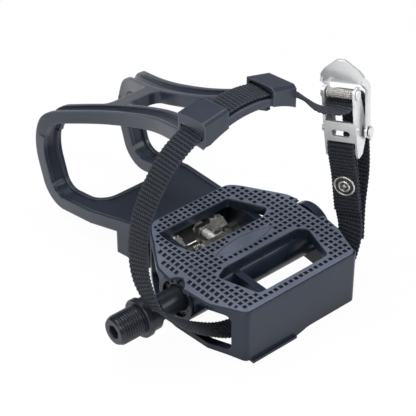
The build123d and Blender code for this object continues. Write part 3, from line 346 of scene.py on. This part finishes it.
# notches in the knurl's edge, for the end cap on the outboard side and for the open bore on the inboard slope
notch = {"capHalf": 9.0, "capX": 95.0, "cap": [(105.1, -8.9), (102.3, -8.6), (102.3, 8.6), (105.1, 8.9)],
         "capMeets": (41.0, 8.95), "boreHalf": 6.0, "boreX": 30.0, "boreZ": (7.9, 8.95), "boreSteps": 5,
         "boreRadius": 9.0, "boreGap": 0.7, "boreTip": (26.7, 0.0)}
# leaf-shaped panel between the windows: a bare plate a hair lower than the knurl, inside a narrow groove
leaf = {"middleY": 0.8, "holeLength": 18.0, "holeWidth": 3.9, "holeSteps": 17, "length": 17.2, "width": 3.5,
        "steps": 33, "tip": 0.02, "lower": 0.06}


# twice the area of an outline, positive where it runs anticlockwise
def doubleArea(outline):
    after = np.roll(outline, -1, 0)
    return np.sum(outline[:, 0] * after[:, 1] - after[:, 0] * outline[:, 1])


# moves each side of an outline inwards by gap, or outwards where gap is negative, and meets the sides again
def insetOutline(points, gap):
    p = np.asarray(points, float)
    if doubleArea(p) < 0:
        p = p[::-1]
    d = unitRows(np.roll(p, -1, 0) - p)
    q = p + gap * np.stack([-d[:, 1], d[:, 0]], 1)
    dBefore = np.roll(d, 1, 0)
    qBefore = np.roll(q, 1, 0)
    cross = dBefore[:, 0] * d[:, 1] - dBefore[:, 1] * d[:, 0]
    along = ((q - qBefore)[:, 0] * d[:, 1] - (q - qBefore)[:, 1] * d[:, 0]) / cross
    return qBefore + dBefore * along[:, None]


# each corner of an outline becomes a short curve that starts and ends at most reach from it
def softenCorners(points, reach, steps=5, most=0.45):
    p = np.asarray(points, float)
    ends = []
    for toNext in (np.roll(p, 1, 0) - p, np.roll(p, -1, 0) - p):
        length = np.linalg.norm(toNext, axis=1)[:, None]
        ends.append((p + toNext / length * np.minimum(reach, length * most))[:, None])
    s = np.linspace(0, 1, steps)[None, :, None]
    return ((1 - s) ** 2 * ends[0] + 2 * s * (1 - s) * p[:, None] + s**2 * ends[1]).reshape(-1, 2)


# true for each point that lies inside an outline, by counting the sides crossed on the way out
def insideOutline(points, outline):
    x, y = points[:, :1], points[:, 1:]
    (ax, ay), (bx, by) = outline.T, np.roll(outline, -1, 0).T
    crosses = (ay > y) != (by > y)
    run = (bx - ax) * (y - ay) / (by - ay + 1e-12) + ax
    return (np.sum(crosses & (x < run), 1) % 2) == 1


def deckHeight(x):
    return knurl["topZ"] - knurl["fall"] * np.maximum(knurl["creaseX"] - x, 0)


# points in plan, at a height above the deck
def onDeck(points, lift):
    return np.column_stack([points, deckHeight(points[:, 0]) + lift])


# the knurl's outer edge, anticlockwise from the inboard side, with its two notches
def deckEdge():
    middle = [knurl["middleX"], 0]
    half = np.array(deckHalf)
    full = np.vstack([half + middle, half[::-1] * [-1, 1] + middle])
    edge = softenCorners(insetOutline(full, knurl["inset"]), knurl["corner"])
    angle = np.arctan2(edge[:, 1], edge[:, 0] - knurl["middleX"])
    order = np.argsort(angle)
    edge, angle = edge[order], angle[order]
    inCap = (np.abs(edge[:, 1]) < notch["capHalf"]) & (edge[:, 0] > notch["capX"])
    inBore = (np.abs(edge[:, 1]) < notch["boreHalf"]) & (edge[:, 0] < notch["boreX"])
    keep = ~inCap & ~inBore
    edge, angle = edge[keep], angle[keep]
    z = np.linspace(*notch["boreZ"], notch["boreSteps"])
    x = knurl["creaseX"] - (knurl["topZ"] - z) / knurl["fall"]
    y = np.sqrt(notch["boreRadius"] ** 2 - z**2) + notch["boreGap"]
    bore = np.vstack([np.stack([x, y], 1), [notch["boreTip"]], np.stack([x, -y], 1)[::-1]])
    meetX, meetY = notch["capMeets"]
    rearPart = edge[angle < np.arctan2(-meetY, meetX)]
    frontPart = edge[angle > np.arctan2(meetY, meetX)]
    return np.vstack([rearPart, notch["cap"], frontPart, bore])


def leafHole():
    s = np.linspace(-1, 1, leaf["holeSteps"])
    x = knurl["middleX"] + s * leaf["holeLength"]
    half = leaf["holeWidth"] * (1 - s**2)
    front = np.stack([x, leaf["middleY"] + half], 1)
    rear = np.stack([x, leaf["middleY"] - half], 1)[::-1]
    return np.vstack([front, rear[1:-1]])


# pits on a square grid; one that meets a border moves a little or becomes smaller until it lies on the deck,
# and is left out where nothing fits
def placePits(edge, holes):
    gx = np.arange(*knurl["gridX"], knurl["pitch"]) + knurl["startX"]
    gy = np.arange(*knurl["gridY"], knurl["pitch"]) + knurl["startY"]
    grid = np.stack(np.meshgrid(gx, gy, indexing="ij"), -1).reshape(-1, 2)
    centre = grid.copy()
    wide = np.zeros(len(grid))
    for size, move in [(size, move) for size in knurl["sizes"] for move in knurl["moves"]]:
        pit = knurl["pit"] * size
        spot = grid + np.array(move) * (knurl["moveReach"] - size)
        reach = (spot[:, None] + unitSquare * (pit + 2 * knurl["margin"])).reshape(-1, 2)
        good = insideOutline(reach, edge).reshape(-1, 4).all(1) & (wide == 0)
        for hole in holes:
            good &= ~insideOutline(reach, hole).reshape(-1, 4).any(1) & ~insideOutline(spot, hole)
        good &= np.abs(spot[:, 0] - knurl["creaseX"]) > pit / 2 + knurl["creaseGap"]
        centre[good] = spot[good]
        wide[good] = pit
    return centre[wide > 0], wide[wide > 0]


# triangles of the plate in plan, without the holes and the pits
def plateNet(edge, holes, centre, wide):
    loops = [edge] + holes + list(centre[:, None] + unitSquare * wide[:, None, None])
    starts = np.concatenate([[0], np.cumsum([len(loop) for loop in loops])])
    sides = []
    for start, loop in zip(starts.tolist(), loops):
        sides += [(start + k, start + (k + 1) % len(loop)) for k in range(len(loop))]
    # the plate folds on the crease, so its own line goes into the net of triangles
    crease = [(knurl["creaseX"], y) for y in knurl["creaseY"]]
    sides.append((int(starts[-1]), int(starts[-1]) + 1))
    corners = [Vector(p) for p in np.vstack(loops + [crease]).tolist()]
    net = delaunay_2d_cdt(corners, sides, [], 1, knurl["nearest"])
    points = np.array([list(p) for p in net[0]])
    tris = np.array(net[2])
    middle = points[tris].mean(1)
    solid = insideOutline(middle, edge)
    for hole in holes:
        solid &= ~insideOutline(middle, hole)
    beyond = (np.abs(middle[:, None] - centre[None]).max(2) - wide[None] / 2).min(1)
    tris = tris[solid & (beyond > 0)]
    side = points[tris[:, 1:]] - points[tris[:, :1]]
    turn = side[:, 0, 0] * side[:, 1, 1] - side[:, 0, 1] * side[:, 1, 0]
    tris[turn < 0] = tris[turn < 0][:, ::-1]
    return points, tris


def makeKnurl():
    edge = deckEdge()
    windows = [insetOutline(window, -knurl["windowGap"]) for window in (frontWindow, rearWindow)]
    holes = [softenCorners(window, knurl["windowCorner"]) for window in windows] + [leafHole()]
    centre, wide = placePits(edge, holes)
    points, tris = plateNet(edge, holes, centre, wide)
    verts = [onDeck(points, knurl["height"]), onDeck(points, -knurl["sink"])]
    faces = tris.tolist() + (tris[:, ::-1] + len(points)).tolist()
    count = 2 * len(points)
    # side walls: the outline and the holes drop straight, pits narrow towards their floor
    for loop in [edge] + holes:
        verts += [onDeck(loop, knurl["height"]), onDeck(loop, -knurl["sink"])]
        walls = loopWalls(count, len(loop), len(loop))
        faces += (walls if (doubleArea(loop) > 0) == (loop is edge) else walls[:, ::-1]).tolist()
        count += 2 * len(loop)
    narrow = wide * (1 - knurl["taper"])
    for side, lift in ((wide, knurl["height"]), (narrow, knurl["floor"])):
        verts.append(onDeck((centre[:, None] + unitSquare * side[:, None, None]).reshape(-1, 2), lift))
    # the pit walls and floors that follow take the near-black painted shade
    plain = len(faces)
    pitCorners = 4 * len(centre)
    faces += loopWalls(count, pitCorners, 4)[:, ::-1].tolist()
    faces += (count + pitCorners + np.arange(pitCorners).reshape(-1, 4)).tolist()
    piece = putMesh("deckKnurl", np.vstack(verts), faces, sharp=knurl["sharp"])
    dressTwice(piece, "knurlLitPaint", "pitPaintedShade", np.arange(len(faces)) >= plain)
    print("knurl pits:", len(centre))
    return piece


def makeLeaf():
    s = np.linspace(-1, 1, leaf["steps"])
    x = knurl["middleX"] + s * leaf["length"]
    half = leaf["width"] * (1 - s**2) + leaf["tip"]
    rear = np.stack([x, leaf["middleY"] - half], 1)
    front = np.stack([x, leaf["middleY"] + half], 1)
    rim = np.vstack([rear, front[::-1]])
    n = len(rim)
    verts = [onDeck(rim, knurl["height"] - leaf["lower"]), onDeck(rim, -knurl["sink"])]
    faces = [list(range(n)), list(range(n, 2 * n))[::-1]] + loopWalls(0, n, n).tolist()
    return putMesh("leafPanel", np.vstack(verts), faces, sharp=knurl["sharp"])


deckKnurl = makeKnurl()
leafPanel = makeLeaf()
dress(leafPanel, "knurlLitPaint")
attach(leafPanel, "pedal")
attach(deckKnurl, "pedal")

# spindle: a turned profile whose radius also depends on the angle, for the thread, the hex socket and the
# flats; each place along it is x, radius and kind, and a hex place has a share of the socket's radius instead
spindle = {"threadRadius": 7.144, "pitch": 1.27, "depth": 0.62, "crest": 0.18, "flank": 0.7,
           "rowsPerTurn": 12, "length": 13.5, "chamfer": 1.1, "chamferDepth": 0.55, "threadEnd": -0.7,
           "reliefStart": -0.6, "fadeLead": 0.2, "fadeIn": 1.2, "fadeOut": 0.9, "fadeLeast": 0.15,
           "hexHalf": 3.0, "hexDepth": 9.0, "drillTip": 1.4, "mouthDepth": 0.3, "mouthFlare": 1.12,
           "tipRound": [(0.0, 1.25), (0.15, 1.05)], "flange": 9.4, "flangeWidth": 3.5,
           "flangeRound": [(0.0, 0.6), (0.25, 0.25), (0.6, 0.0)], "neck": 8.3, "neckEnd": 8.5,
           "neckRound": (0.4, 0.3), "flatHalf": 7.5, "around": 96, "sharp": 32,
           "shaft": [(10.8, 6.0), (44.0, 6.0), (45.0, 5.0), (84.0, 5.0), (84.0, 4.0), (95.9, 4.0),
                     (97.0, 2.9), (97.0, 0.0)]}


def spindleRows():
    sp = spindle
    end = -sp["length"]
    thread = sp["threadRadius"]
    socketEnd = end + sp["hexDepth"]
    rows = [(socketEnd + sp["drillTip"], 0.0, "round"), (socketEnd, 1.0, "hex"),
            (end + sp["mouthDepth"], 1.0, "hex"), (end, sp["mouthFlare"], "hex")]
    rows += [(end + step, thread - less, "round") for step, less in sp["tipRound"]]
    threadX = np.arange(end + sp["chamfer"], sp["threadEnd"], sp["pitch"] / sp["rowsPerTurn"])
    rows += [(x, thread, "thread") for x in threadX]
    rows += [(x, thread - sp["depth"], "round") for x in (sp["reliefStart"], 0.0)]
    flange = [(step, sp["flange"] - less) for step, less in sp["flangeRound"]]
    rows += [(step, radius, "round") for step, radius in flange]
    rows += [(sp["flangeWidth"] - step, radius, "round") for step, radius in flange[::-1]]
    step, less = sp["neckRound"]
    rows += [(sp["flangeWidth"], sp["neck"], "flats"), (sp["neckEnd"] - step, sp["neck"], "flats"),
             (sp["neckEnd"], sp["neck"] - less, "round")]
    return rows + [(x, radius, "round") for x, radius in sp["shaft"]]


def makeSpindle():
    sp = spindle
    rows = spindleRows()
    x, base, kind = [np.array(column)[:, None] for column in zip(*rows)]
    a = fullTurn(sp["around"])[None]
    sixth = np.pi / 3
    hexRadius = sp["hexHalf"] / np.cos((a + sixth / 2) % sixth - sixth / 2)
    wave = np.abs(((x / sp["pitch"] + a / (2 * np.pi)) % 1.0) * 2 - 1)
    cutIn = np.clip((wave - sp["crest"]) / sp["flank"], 0, 1) * sp["depth"]
    fadeIn = np.clip((x + sp["length"] - sp["chamfer"] + sp["fadeLead"]) / sp["fadeIn"], sp["fadeLeast"], 1)
    fade = fadeIn * np.clip((sp["reliefStart"] - x) / sp["fadeOut"], 0, 1)
    r = np.where(kind == "hex", base * hexRadius, base)
    r = np.where(kind == "thread", base - (1 - fade) * sp["chamferDepth"] - cutIn * fade, r)
    r = np.where(kind == "flats", np.minimum(base, sp["flatHalf"] / np.maximum(np.abs(np.sin(a)), 1e-6)), r)
    verts = np.stack([x + 0 * a, r * np.cos(a), r * np.sin(a)], -1).reshape(-1, 3)
    return putMesh("spindleTurned", verts, gridFaces(len(rows), sp["around"])[:, ::-1], sharp=sp["sharp"])


spindleTurned = makeSpindle()
dress(spindleTurned, "blackOxide")
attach(spindleTurned, "spindle_set")
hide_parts("spindle")
print("spindle turned")

# buckle frame of reference, in mm: x along the roller, y up the buckle, z out of its face
buckle = {"roller": (110.2, -10.5, 78.2), "heading": -65.5, "lean": 7.5, "groovePitch": 1.1}
heading = math.radians(buckle["heading"])
lean = math.radians(buckle["lean"])
level = np.array([math.cos(heading), math.sin(heading), 0.0])
faceOut = np.array([math.sin(heading), -math.cos(heading), 0.0])
upBuckle = np.array([0, 0, 1.0]) * math.cos(lean) - level * math.sin(lean)
alongRoller = np.cross(upBuckle, faceOut)


# a direction, or many, from the buckle's own frame
def turnBuckle(x, y, z):
    x, y, z = np.broadcast_arrays(np.asarray(x, float), np.asarray(y, float), np.asarray(z, float))
    return x[..., None] * alongRoller + y[..., None] * upBuckle + z[..., None] * faceOut


def onBuckle(x, y, z):
    return np.array(buckle["roller"]) + turnBuckle(x, y, z)


rollerLook = {"dark": (0.62, 0.60, 0.56), "light": (0.80, 0.78, 0.74), "rough": 0.25, "metal": 0.8,
              "groove": (alongRoller, buckle["groovePitch"])}
finishes["rollerNickel"] = mottledFinish("rollerNickel", **rollerLook)
dress(nodes["buckle_roller"], "rollerNickel")

# strap: places along the middle of the webbing, each with the way its width points, from the sewn-back end to
# the tail; those of sewnRun and entryRun are in the buckle's own frame
strap = {"width": 13.0, "thick": 1.4, "lift": 0.15, "rib": 1.9, "ribDepth": 0.12, "across": 20, "step": 0.3,
         "face": 4.2, "sheet": 1.2, "slotTop": -23.0, "slotHeight": 2.9, "bottom": -28.8, "selvageHighlight": 1.2,
         "edgeThin": 0.45, "edgePower": 10, "edgeGap": 0.12, "edgeRib": 0.1, "edgeShare": 0.99, "sharp": 60,
         "sewnUp": [-61.0, -52.0, -42.0], "sewnDown": [-42.0, -52.0, -63.0]}
outerRun = [((109.4, -22.5, 9.5), (0.25, -0.97, 0)), ((107.2, -24.0, 3.0), (0.08, -1, 0)),
            ((105.0, -24.0, -4.0), (0, -1, 0)), ((100.5, -23.5, -9.3), (0, -1, 0)),
            ((94.0, -22.8, -12.0), (0, -1, 0)), ((86.0, -22.5, -12.6), (0, -1, 0))]
underRun = [((64.0, -22.15, -12.55), (-0.03, -1, 0)), ((42.0, -21.8, -12.5), (-0.06, -1, 0)),
            ((33.0, -19.5, -11.9), (-0.2, -0.97, 0.06)), ((23.4, -17.0, -7.5), (-0.16, -0.98, 0.09)),
            ((15.0, -15.8, -1.5), (-0.12, -0.99, 0.1)), ((9.0, -14.6, 4.0), (-0.13, -0.98, 0.14))]
inboardRun = [((4.5, -13.2, 8.4), (-0.2, -0.94, 0.28)), ((1.9, -10.5, 12.8), (-0.18, -0.83, 0.53)),
              ((1.3, -6.5, 17.0), (-0.04, -0.8, 0.6)), ((1.6, -2.0, 23.0), (0.06, -0.86, 0.5)),
              ((3.0, 1.8, 31.0), (0.06, -0.95, 0.3)), ((6.0, 4.4, 43.0), (0.04, -0.98, 0.18)),
              ((10.5, 5.7, 52.5), (0.03, -0.99, 0.1)), ((18.0, 6.3, 64.2), (0, -1, 0.04)),
              ((25.5, 6.2, 72.8), (0, -1, 0)), ((31.5, 6.0, 77.3), (0, -1, 0))]
freeRun = [((93.4, 5.2, 78.6), (-0.05, -1, 0)), ((96.0, 0.8, 77.2), (-0.2, -0.97, 0.05))]
entryRun = [((-10.2, -1.8, 9.6), (0.7, 0, 0.7)), ((-4.5, -4.2, 8.6), (0.85, 0, 0.52)),
            ((-0.2, -5.4, 5.2), (0.97, 0, 0.2)), ((0.0, -4.4, 0.0), (1, 0, 0)),
            ((0.0, -3.0, -4.0), (1, 0, 0)), ((0.0, -3.6, -9.5), (1, 0, 0)), ((0.0, -7.5, -12.8), (1, 0, 0))]
tailRun = [((124.1, -7.2, 58.4), (0.41, -0.91, 0)), ((123.0, -11.2, 34.0), (0.41, -0.91, 0)),
           ((116.5, -16.5, 19.0), (0.36, -0.93, 0)), ((111.4, -22.0, 5.0), (0.25, -0.97, 0))]
arch = {"middle": 63.5, "width": 53.0, "endZ": 75.5, "rise": 7.5, "thick": 3.8, "lap": 0.15, "strapY": 6.0,
        "steps": 21}


# the sewn-back end: up in front of the layer behind it, over the buckle's lower bar and down behind
def sewnRun():
    st = strap
    half = st["thick"] / 2
    front = st["face"] + half + st["lift"]
    back = st["face"] - st["sheet"] - half - st["lift"]
    near = back + st["thick"] + st["lift"]
    foldY = st["slotTop"] - half - st["lift"]
    loopY = st["slotTop"] - st["slotHeight"] - st["lift"]
    lowY = st["bottom"] - st["thick"]
    places = [(y, near) for y in st["sewnUp"]]
    places += [(lowY, front), (loopY, front), (foldY - st["lift"], front - half), (foldY, (front + back) / 2),
               (foldY - st["lift"], back + half), (loopY, back), (lowY, back)]
    places += [(y, back) for y in st["sewnDown"]]
    return [((0, y, z), (1, 0, 0)) for y, z in places]


# over the arch: a circle's arc that lies on the clip
def archRun():
    radius = ((arch["width"] / 2) ** 2 + arch["rise"] ** 2) / (2 * arch["rise"])
    x = arch["middle"] + np.linspace(-1, 1, arch["steps"]) * (arch["width"] / 2 + arch["lap"])
    top = arch["endZ"] + arch["rise"] + arch["thick"] + strap["thick"] / 2 + strap["lift"]
    z = top - radius + np.sqrt(radius**2 - (x - arch["middle"]) ** 2)
    return [((a, arch["strapY"], b), (0, -1, 0)) for a, b in zip(x, z)]


# a run given in the buckle's own frame
def fromBuckle(run):
    return [(onBuckle(*place), turnBuckle(*way)) for place, way in run]


def strapRoute():
    lower = fromBuckle(sewnRun()) + outerRun + underRun + inboardRun
    upper = archRun() + freeRun + fromBuckle(entryRun) + tailRun
    return np.array([np.concatenate([place, way]) for place, way in lower + upper], float)


# the webbing's section, a flat oblong with soft edges and a rib every few threads, goes along the route
def makeStrap():
    st = strap
    line, run = smoothLine(strapRoute(), st["step"])
    mid = line[:, :3]
    wide = unitRows(line[:, 3:])
    out = unitRows(np.cross(np.gradient(mid, axis=0), wide))
    w = np.linspace(-1, 1, st["across"])
    edge = 1 - st["edgeThin"] * np.abs(w) ** st["edgePower"]
    around = np.concatenate([w, w[::-1]])
    side = np.concatenate([edge, -edge[::-1]])
    rib = np.sin(2 * np.pi * run / st["rib"])[:, None]
    lift = side[None] * (st["thick"] / 2 - st["ribDepth"]) + np.sign(side)[None] * st["ribDepth"] * rib
    onEdge = np.abs(around)[None] > st["edgeShare"]
    spread = around[None] * (st["width"] / 2 - st["edgeGap"] + st["edgeRib"] * rib * onEdge)
    verts = mid[:, None] + wide[:, None] * spread[..., None] + out[:, None] * lift[..., None]
    across = np.broadcast_to((around[None] + 1) / 2 * st["width"], spread.shape)
    uv = np.stack([across, np.broadcast_to(run[:, None], spread.shape)], -1).reshape(-1, 2)
    piece = putMesh("strapWebbing", verts.reshape(-1, 3), tubeFaces(*spread.shape), uv=uv, sharp=st["sharp"])
    print("strap length mm:", round(float(run[-1]), 1))
    return piece, float(run[-1])


weave = {"rough": 0.66, "shine": 0.25, "sheen": 0.08, "sheenRough": 0.4, "cord": 1.62, "cordShare": 0.6,
         "fuzz": 3.0, "fuzzDetail": 4.0, "bumpHeight": 0.0004, "toneRange": (-0.7, 2.0),
         # the edge tone is paler than the weave's average: a painted highlight on the webbing's edges
         "dark": (0.004, 0.0045, 0.006), "light": (0.048, 0.056, 0.076), "selvageHighlight": (0.044, 0.051, 0.069)}


# black webbing: warp cords along it and weft ribs across it, worked out from the strap's own UV in mm
def webbingFinish():
    mat = bpy.data.materials.new("strapWeave")
    mat.use_nodes = True
    tree = mat.node_tree
    place = addNode(tree, "ShaderNodeUVMap", uv_map="along").outputs["UV"]
    split = addNode(tree, "ShaderNodeSeparateXYZ", {"Vector": place})
    cords = addWave(tree, split.outputs["X"], weave["cord"])
    ribs = addWave(tree, split.outputs["Y"], strap["rib"])
    woven = addMath(tree, "MULTIPLY_ADD", addMath(tree, "MULTIPLY", cords, ribs), weave["cordShare"], ribs)
    relief = addMath(tree, "ADD", woven, addNoise(tree, place, weave["fuzz"], weave["fuzzDetail"]))
    bump = addNode(tree, "ShaderNodeBump", {
        "Height": relief, "Strength": 1.0, "Distance": weave["bumpHeight"]})
    tone = addRange(tree, relief, weave["toneRange"])
    colour = addRamp(tree, tone, [(0.0, weave["dark"]), (1.0, weave["light"])])
    # selvage: towards both edges the weave goes over to one paler tone, a painted highlight on the webbing's
    # edges
    half = strap["width"] / 2
    offMiddle = addMath(tree, "ABSOLUTE", addMath(tree, "SUBTRACT", split.outputs["X"], half))
    share = addRange(tree, offMiddle, (half - strap["selvageHighlight"], half))
    feed(tree, tree.nodes["Principled BSDF"], {
        "Base Color": addMix(tree, share, colour, (*weave["selvageHighlight"], 1)), "Normal": bump.outputs["Normal"],
        "Roughness": weave["rough"], "Specular IOR Level": weave["shine"], "Sheen Weight": weave["sheen"],
        "Sheen Roughness": weave["sheenRough"]})
    return mat


finishes["strapWeave"] = webbingFinish()
strapWebbing, strapLength = makeStrap()
dress(strapWebbing, "strapWeave")
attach(strapWebbing, "pedal")
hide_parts("strap")

# snap rivet: a ringed cap turned about the buckle's face direction, with a plain cap behind the strap; each
# profile point is a height from the cap's seat and a radius, and the listed groove rows of the front one are
# painted dark as shade
rivet = {"drop": -46.5, "front": 4.35, "back": 1.25, "around": 64, "sharp": 50,
         "backProfile": [(-0.62, 0.0), (-0.62, 2.6), (-0.5, 3.6), (-0.2, 4.0), (0.0, 4.0), (0.0, 1.2)],
         "frontProfile": [(0.0, 1.2), (0.0, 5.0), (0.15, 5.2), (0.55, 5.2), (0.8, 5.0), (0.85, 4.7),
                          (0.7, 4.45), (0.35, 4.2), (0.3, 3.5), (0.4, 3.1), (0.85, 2.95), (1.15, 2.7),
                          (1.2, 2.4), (1.1, 2.1), (0.6, 1.9), (0.45, 1.5), (0.5, 1.1), (0.8, 0.9),
                          (0.95, 0.5), (0.98, 0.0)],
         "shadedGrooveRows": (6, 7, 8, 9, 13, 14, 15, 16)}


def makeRivet():
    rv = rivet
    profile = [(rv["back"] + height, radius) for height, radius in rv["backProfile"]]
    profile += [(rv["front"] + height, radius) for height, radius in rv["frontProfile"]]
    height, radius = [np.array(column)[:, None] for column in zip(*profile)]
    a = fullTurn(rv["around"])
    verts = onBuckle(radius * np.cos(a), rv["drop"] + radius * np.sin(a), height).reshape(-1, 3)
    piece = putMesh("snapRivetCap", verts, gridFaces(len(profile), rv["around"]), sharp=rv["sharp"])
    row = np.repeat(np.arange(len(profile) - 1), rv["around"]) - len(rv["backProfile"])
    # the groove rows take a dark nickel as painted shade
    dressTwice(piece, "rivetNickel", "rivetGrooveShade", np.isin(row, rv["shadedGrooveRows"]))
    return piece


snapRivetCap = makeRivet()
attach(snapRivetCap, "pedal")
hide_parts("snap_rivet")

# jaw springs: round wire wound on the pin, a tube carried along a helix
spring = {"pinY": 27.0, "pinZ": -6.0, "middleX": 64.0, "offset": 7.2, "coils": 4.0, "length": 4.4,
          "radius": 3.15, "wire": 0.7, "steps": 160, "around": 12, "sharp": 60}


def makeSpring(name, side):
    sg = spring
    t = np.linspace(0, 1, sg["steps"])
    a = 2 * np.pi * sg["coils"] * t
    x = sg["middleX"] + side * sg["offset"] + (t - 0.5) * sg["length"]
    outward = np.stack([0 * a, np.cos(a), np.sin(a)], 1)
    mid = np.stack([x, sg["pinY"] + 0 * a, sg["pinZ"] + 0 * a], 1) + sg["radius"] * outward
    across = unitRows(np.cross(np.gradient(mid, axis=0), outward))
    b = fullTurn(sg["around"])[None, :, None]
    verts = mid[:, None] + sg["wire"] * (np.cos(b) * outward[:, None] + np.sin(b) * across[:, None])
    piece = putMesh(name, verts.reshape(-1, 3), tubeFaces(sg["steps"], sg["around"]), sharp=sg["sharp"])
    dress(piece, "zincPlate")
    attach(piece, "pedal")
    return piece


springIn = makeSpring("jawSpringIn", -1)
makeSpring("jawSpringOut", 1)
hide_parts("jaw_springs")
print("rivet and springs made")

# stage: pale floor just under the lowest point that the jaw reaches as it opens, a soft overhead light, three
# weaker lights and a world that is paler upwards; seen and mirrored are the floor's shares of plain white, for
# the camera and for reflections
stage = {"floorZ": -18.7, "floorSize": 3.0, "floorColour": (0.85, 0.86, 0.87, 1), "mirrored": 0.5,
         "seen": 0.97, "world": 0.13, "worldStops": [(0.0, (0.45, 0.46, 0.48)), (0.8, (1.0, 1.0, 1.0))]}
lights = {
    "overhead": {"place": (0.02, 0.25, 0.95), "aim": (0.06, 0.03, 0.02), "size": (0.8, 0.6), "watts": 8.5,
                 "colour": (0.95, 0.97, 1.0)},
    "leftFill": {"place": (-0.8, -0.25, 0.5), "aim": (0.06, 0.03, 0.02), "size": (0.5, 0.7), "watts": 1.8,
                 "colour": (1.0, 1.0, 1.0)},
    "frontKey": {"place": (-0.35, -0.55, 0.75), "aim": (0.06, 0.0, 0.0), "size": (0.35, 0.35), "watts": 2.4,
                 "colour": (0.97, 0.98, 1.0)},
    "rearFill": {"place": (0.52, -0.66, 0.46), "aim": (0.06, 0.0, 0.0), "size": (0.3, 0.5), "watts": 2.0,
                 "colour": (0.88, 0.94, 1.0)},
}


def makeFloor():
    s = stage["floorSize"] / mm / 2
    z = stage["floorZ"]
    floor = putMesh("paleFloor", [(-s, -s, z), (s, -s, z), (s, s, z), (-s, s, z)], [(0, 1, 2, 3)])
    mat = bpy.data.materials.new("paleFloor")
    mat.use_nodes = True
    tree = mat.node_tree
    tree.nodes.clear()
    matte = addNode(tree, "ShaderNodeBsdfDiffuse", {"Color": stage["floorColour"]})
    glow = addNode(tree, "ShaderNodeEmission", {"Color": (1, 1, 1, 1), "Strength": 1.0})
    path = addNode(tree, "ShaderNodeLightPath")
    mirrored = addMath(tree, "MULTIPLY", path.outputs["Is Glossy Ray"], stage["mirrored"])
    share = addMath(tree, "MULTIPLY_ADD", path.outputs["Is Camera Ray"], stage["seen"], mirrored)
    mix = addNode(tree, "ShaderNodeMixShader", {
        "Fac": share, 1: matte.outputs["BSDF"], 2: glow.outputs["Emission"]})
    addNode(tree, "ShaderNodeOutputMaterial", {"Surface": mix.outputs["Shader"]})
    floor.data.materials.append(mat)


def softLight(name, place, aim, size, watts, colour):
    lamp = bpy.data.lights.new(name, "AREA")
    lamp.shape = "RECTANGLE"
    lamp.size, lamp.size_y = size
    lamp.energy = watts
    lamp.color = colour
    made = bpy.data.objects.new(name, lamp)
    made.location = place
    made.rotation_euler = (Vector(aim) - Vector(place)).to_track_quat("-Z", "Y").to_euler()
    bpy.context.scene.collection.objects.link(made)


def lightWorld(scene):
    scene.world = scene.world or bpy.data.worlds.new("studio")
    scene.world.use_nodes = True
    tree = scene.world.node_tree
    tree.nodes.clear()
    place = addNode(tree, "ShaderNodeTexCoord").outputs["Generated"]
    split = addNode(tree, "ShaderNodeSeparateXYZ", {"Vector": place})
    colour = addRamp(tree, split.outputs["Z"], stage["worldStops"])
    light = addNode(tree, "ShaderNodeBackground", {"Color": colour, "Strength": stage["world"]})
    addNode(tree, "ShaderNodeOutputWorld", {"Surface": light.outputs["Background"]})


makeFloor()
for lightName, light in lights.items():
    softLight(lightName, **light)
scene = bpy.context.scene
lightWorld(scene)
scene.view_settings.view_transform = "Standard"

# camera at the photograph's viewing angle; focal and frame in pixels, sensor in mm
view = {"place": (-0.3279, -0.4322, 0.4623), "turn": -40.5, "down": 36.5, "focal": 1600.0, "frame": 416.0,
        "sensor": 36.0, "clip": (0.01, 20.0)}
cam = bpy.data.cameras.new("photoView")
cam.sensor_width = view["sensor"]
cam.lens = view["sensor"] * view["focal"] / view["frame"]
cam.clip_start, cam.clip_end = view["clip"]
camObj = bpy.data.objects.new("photoView", cam)
camObj.location = view["place"]
camObj.rotation_euler = (math.radians(90 - view["down"]), 0, math.radians(view["turn"]))
scene.collection.objects.link(camObj)
scene.camera = camObj
print("stage set")
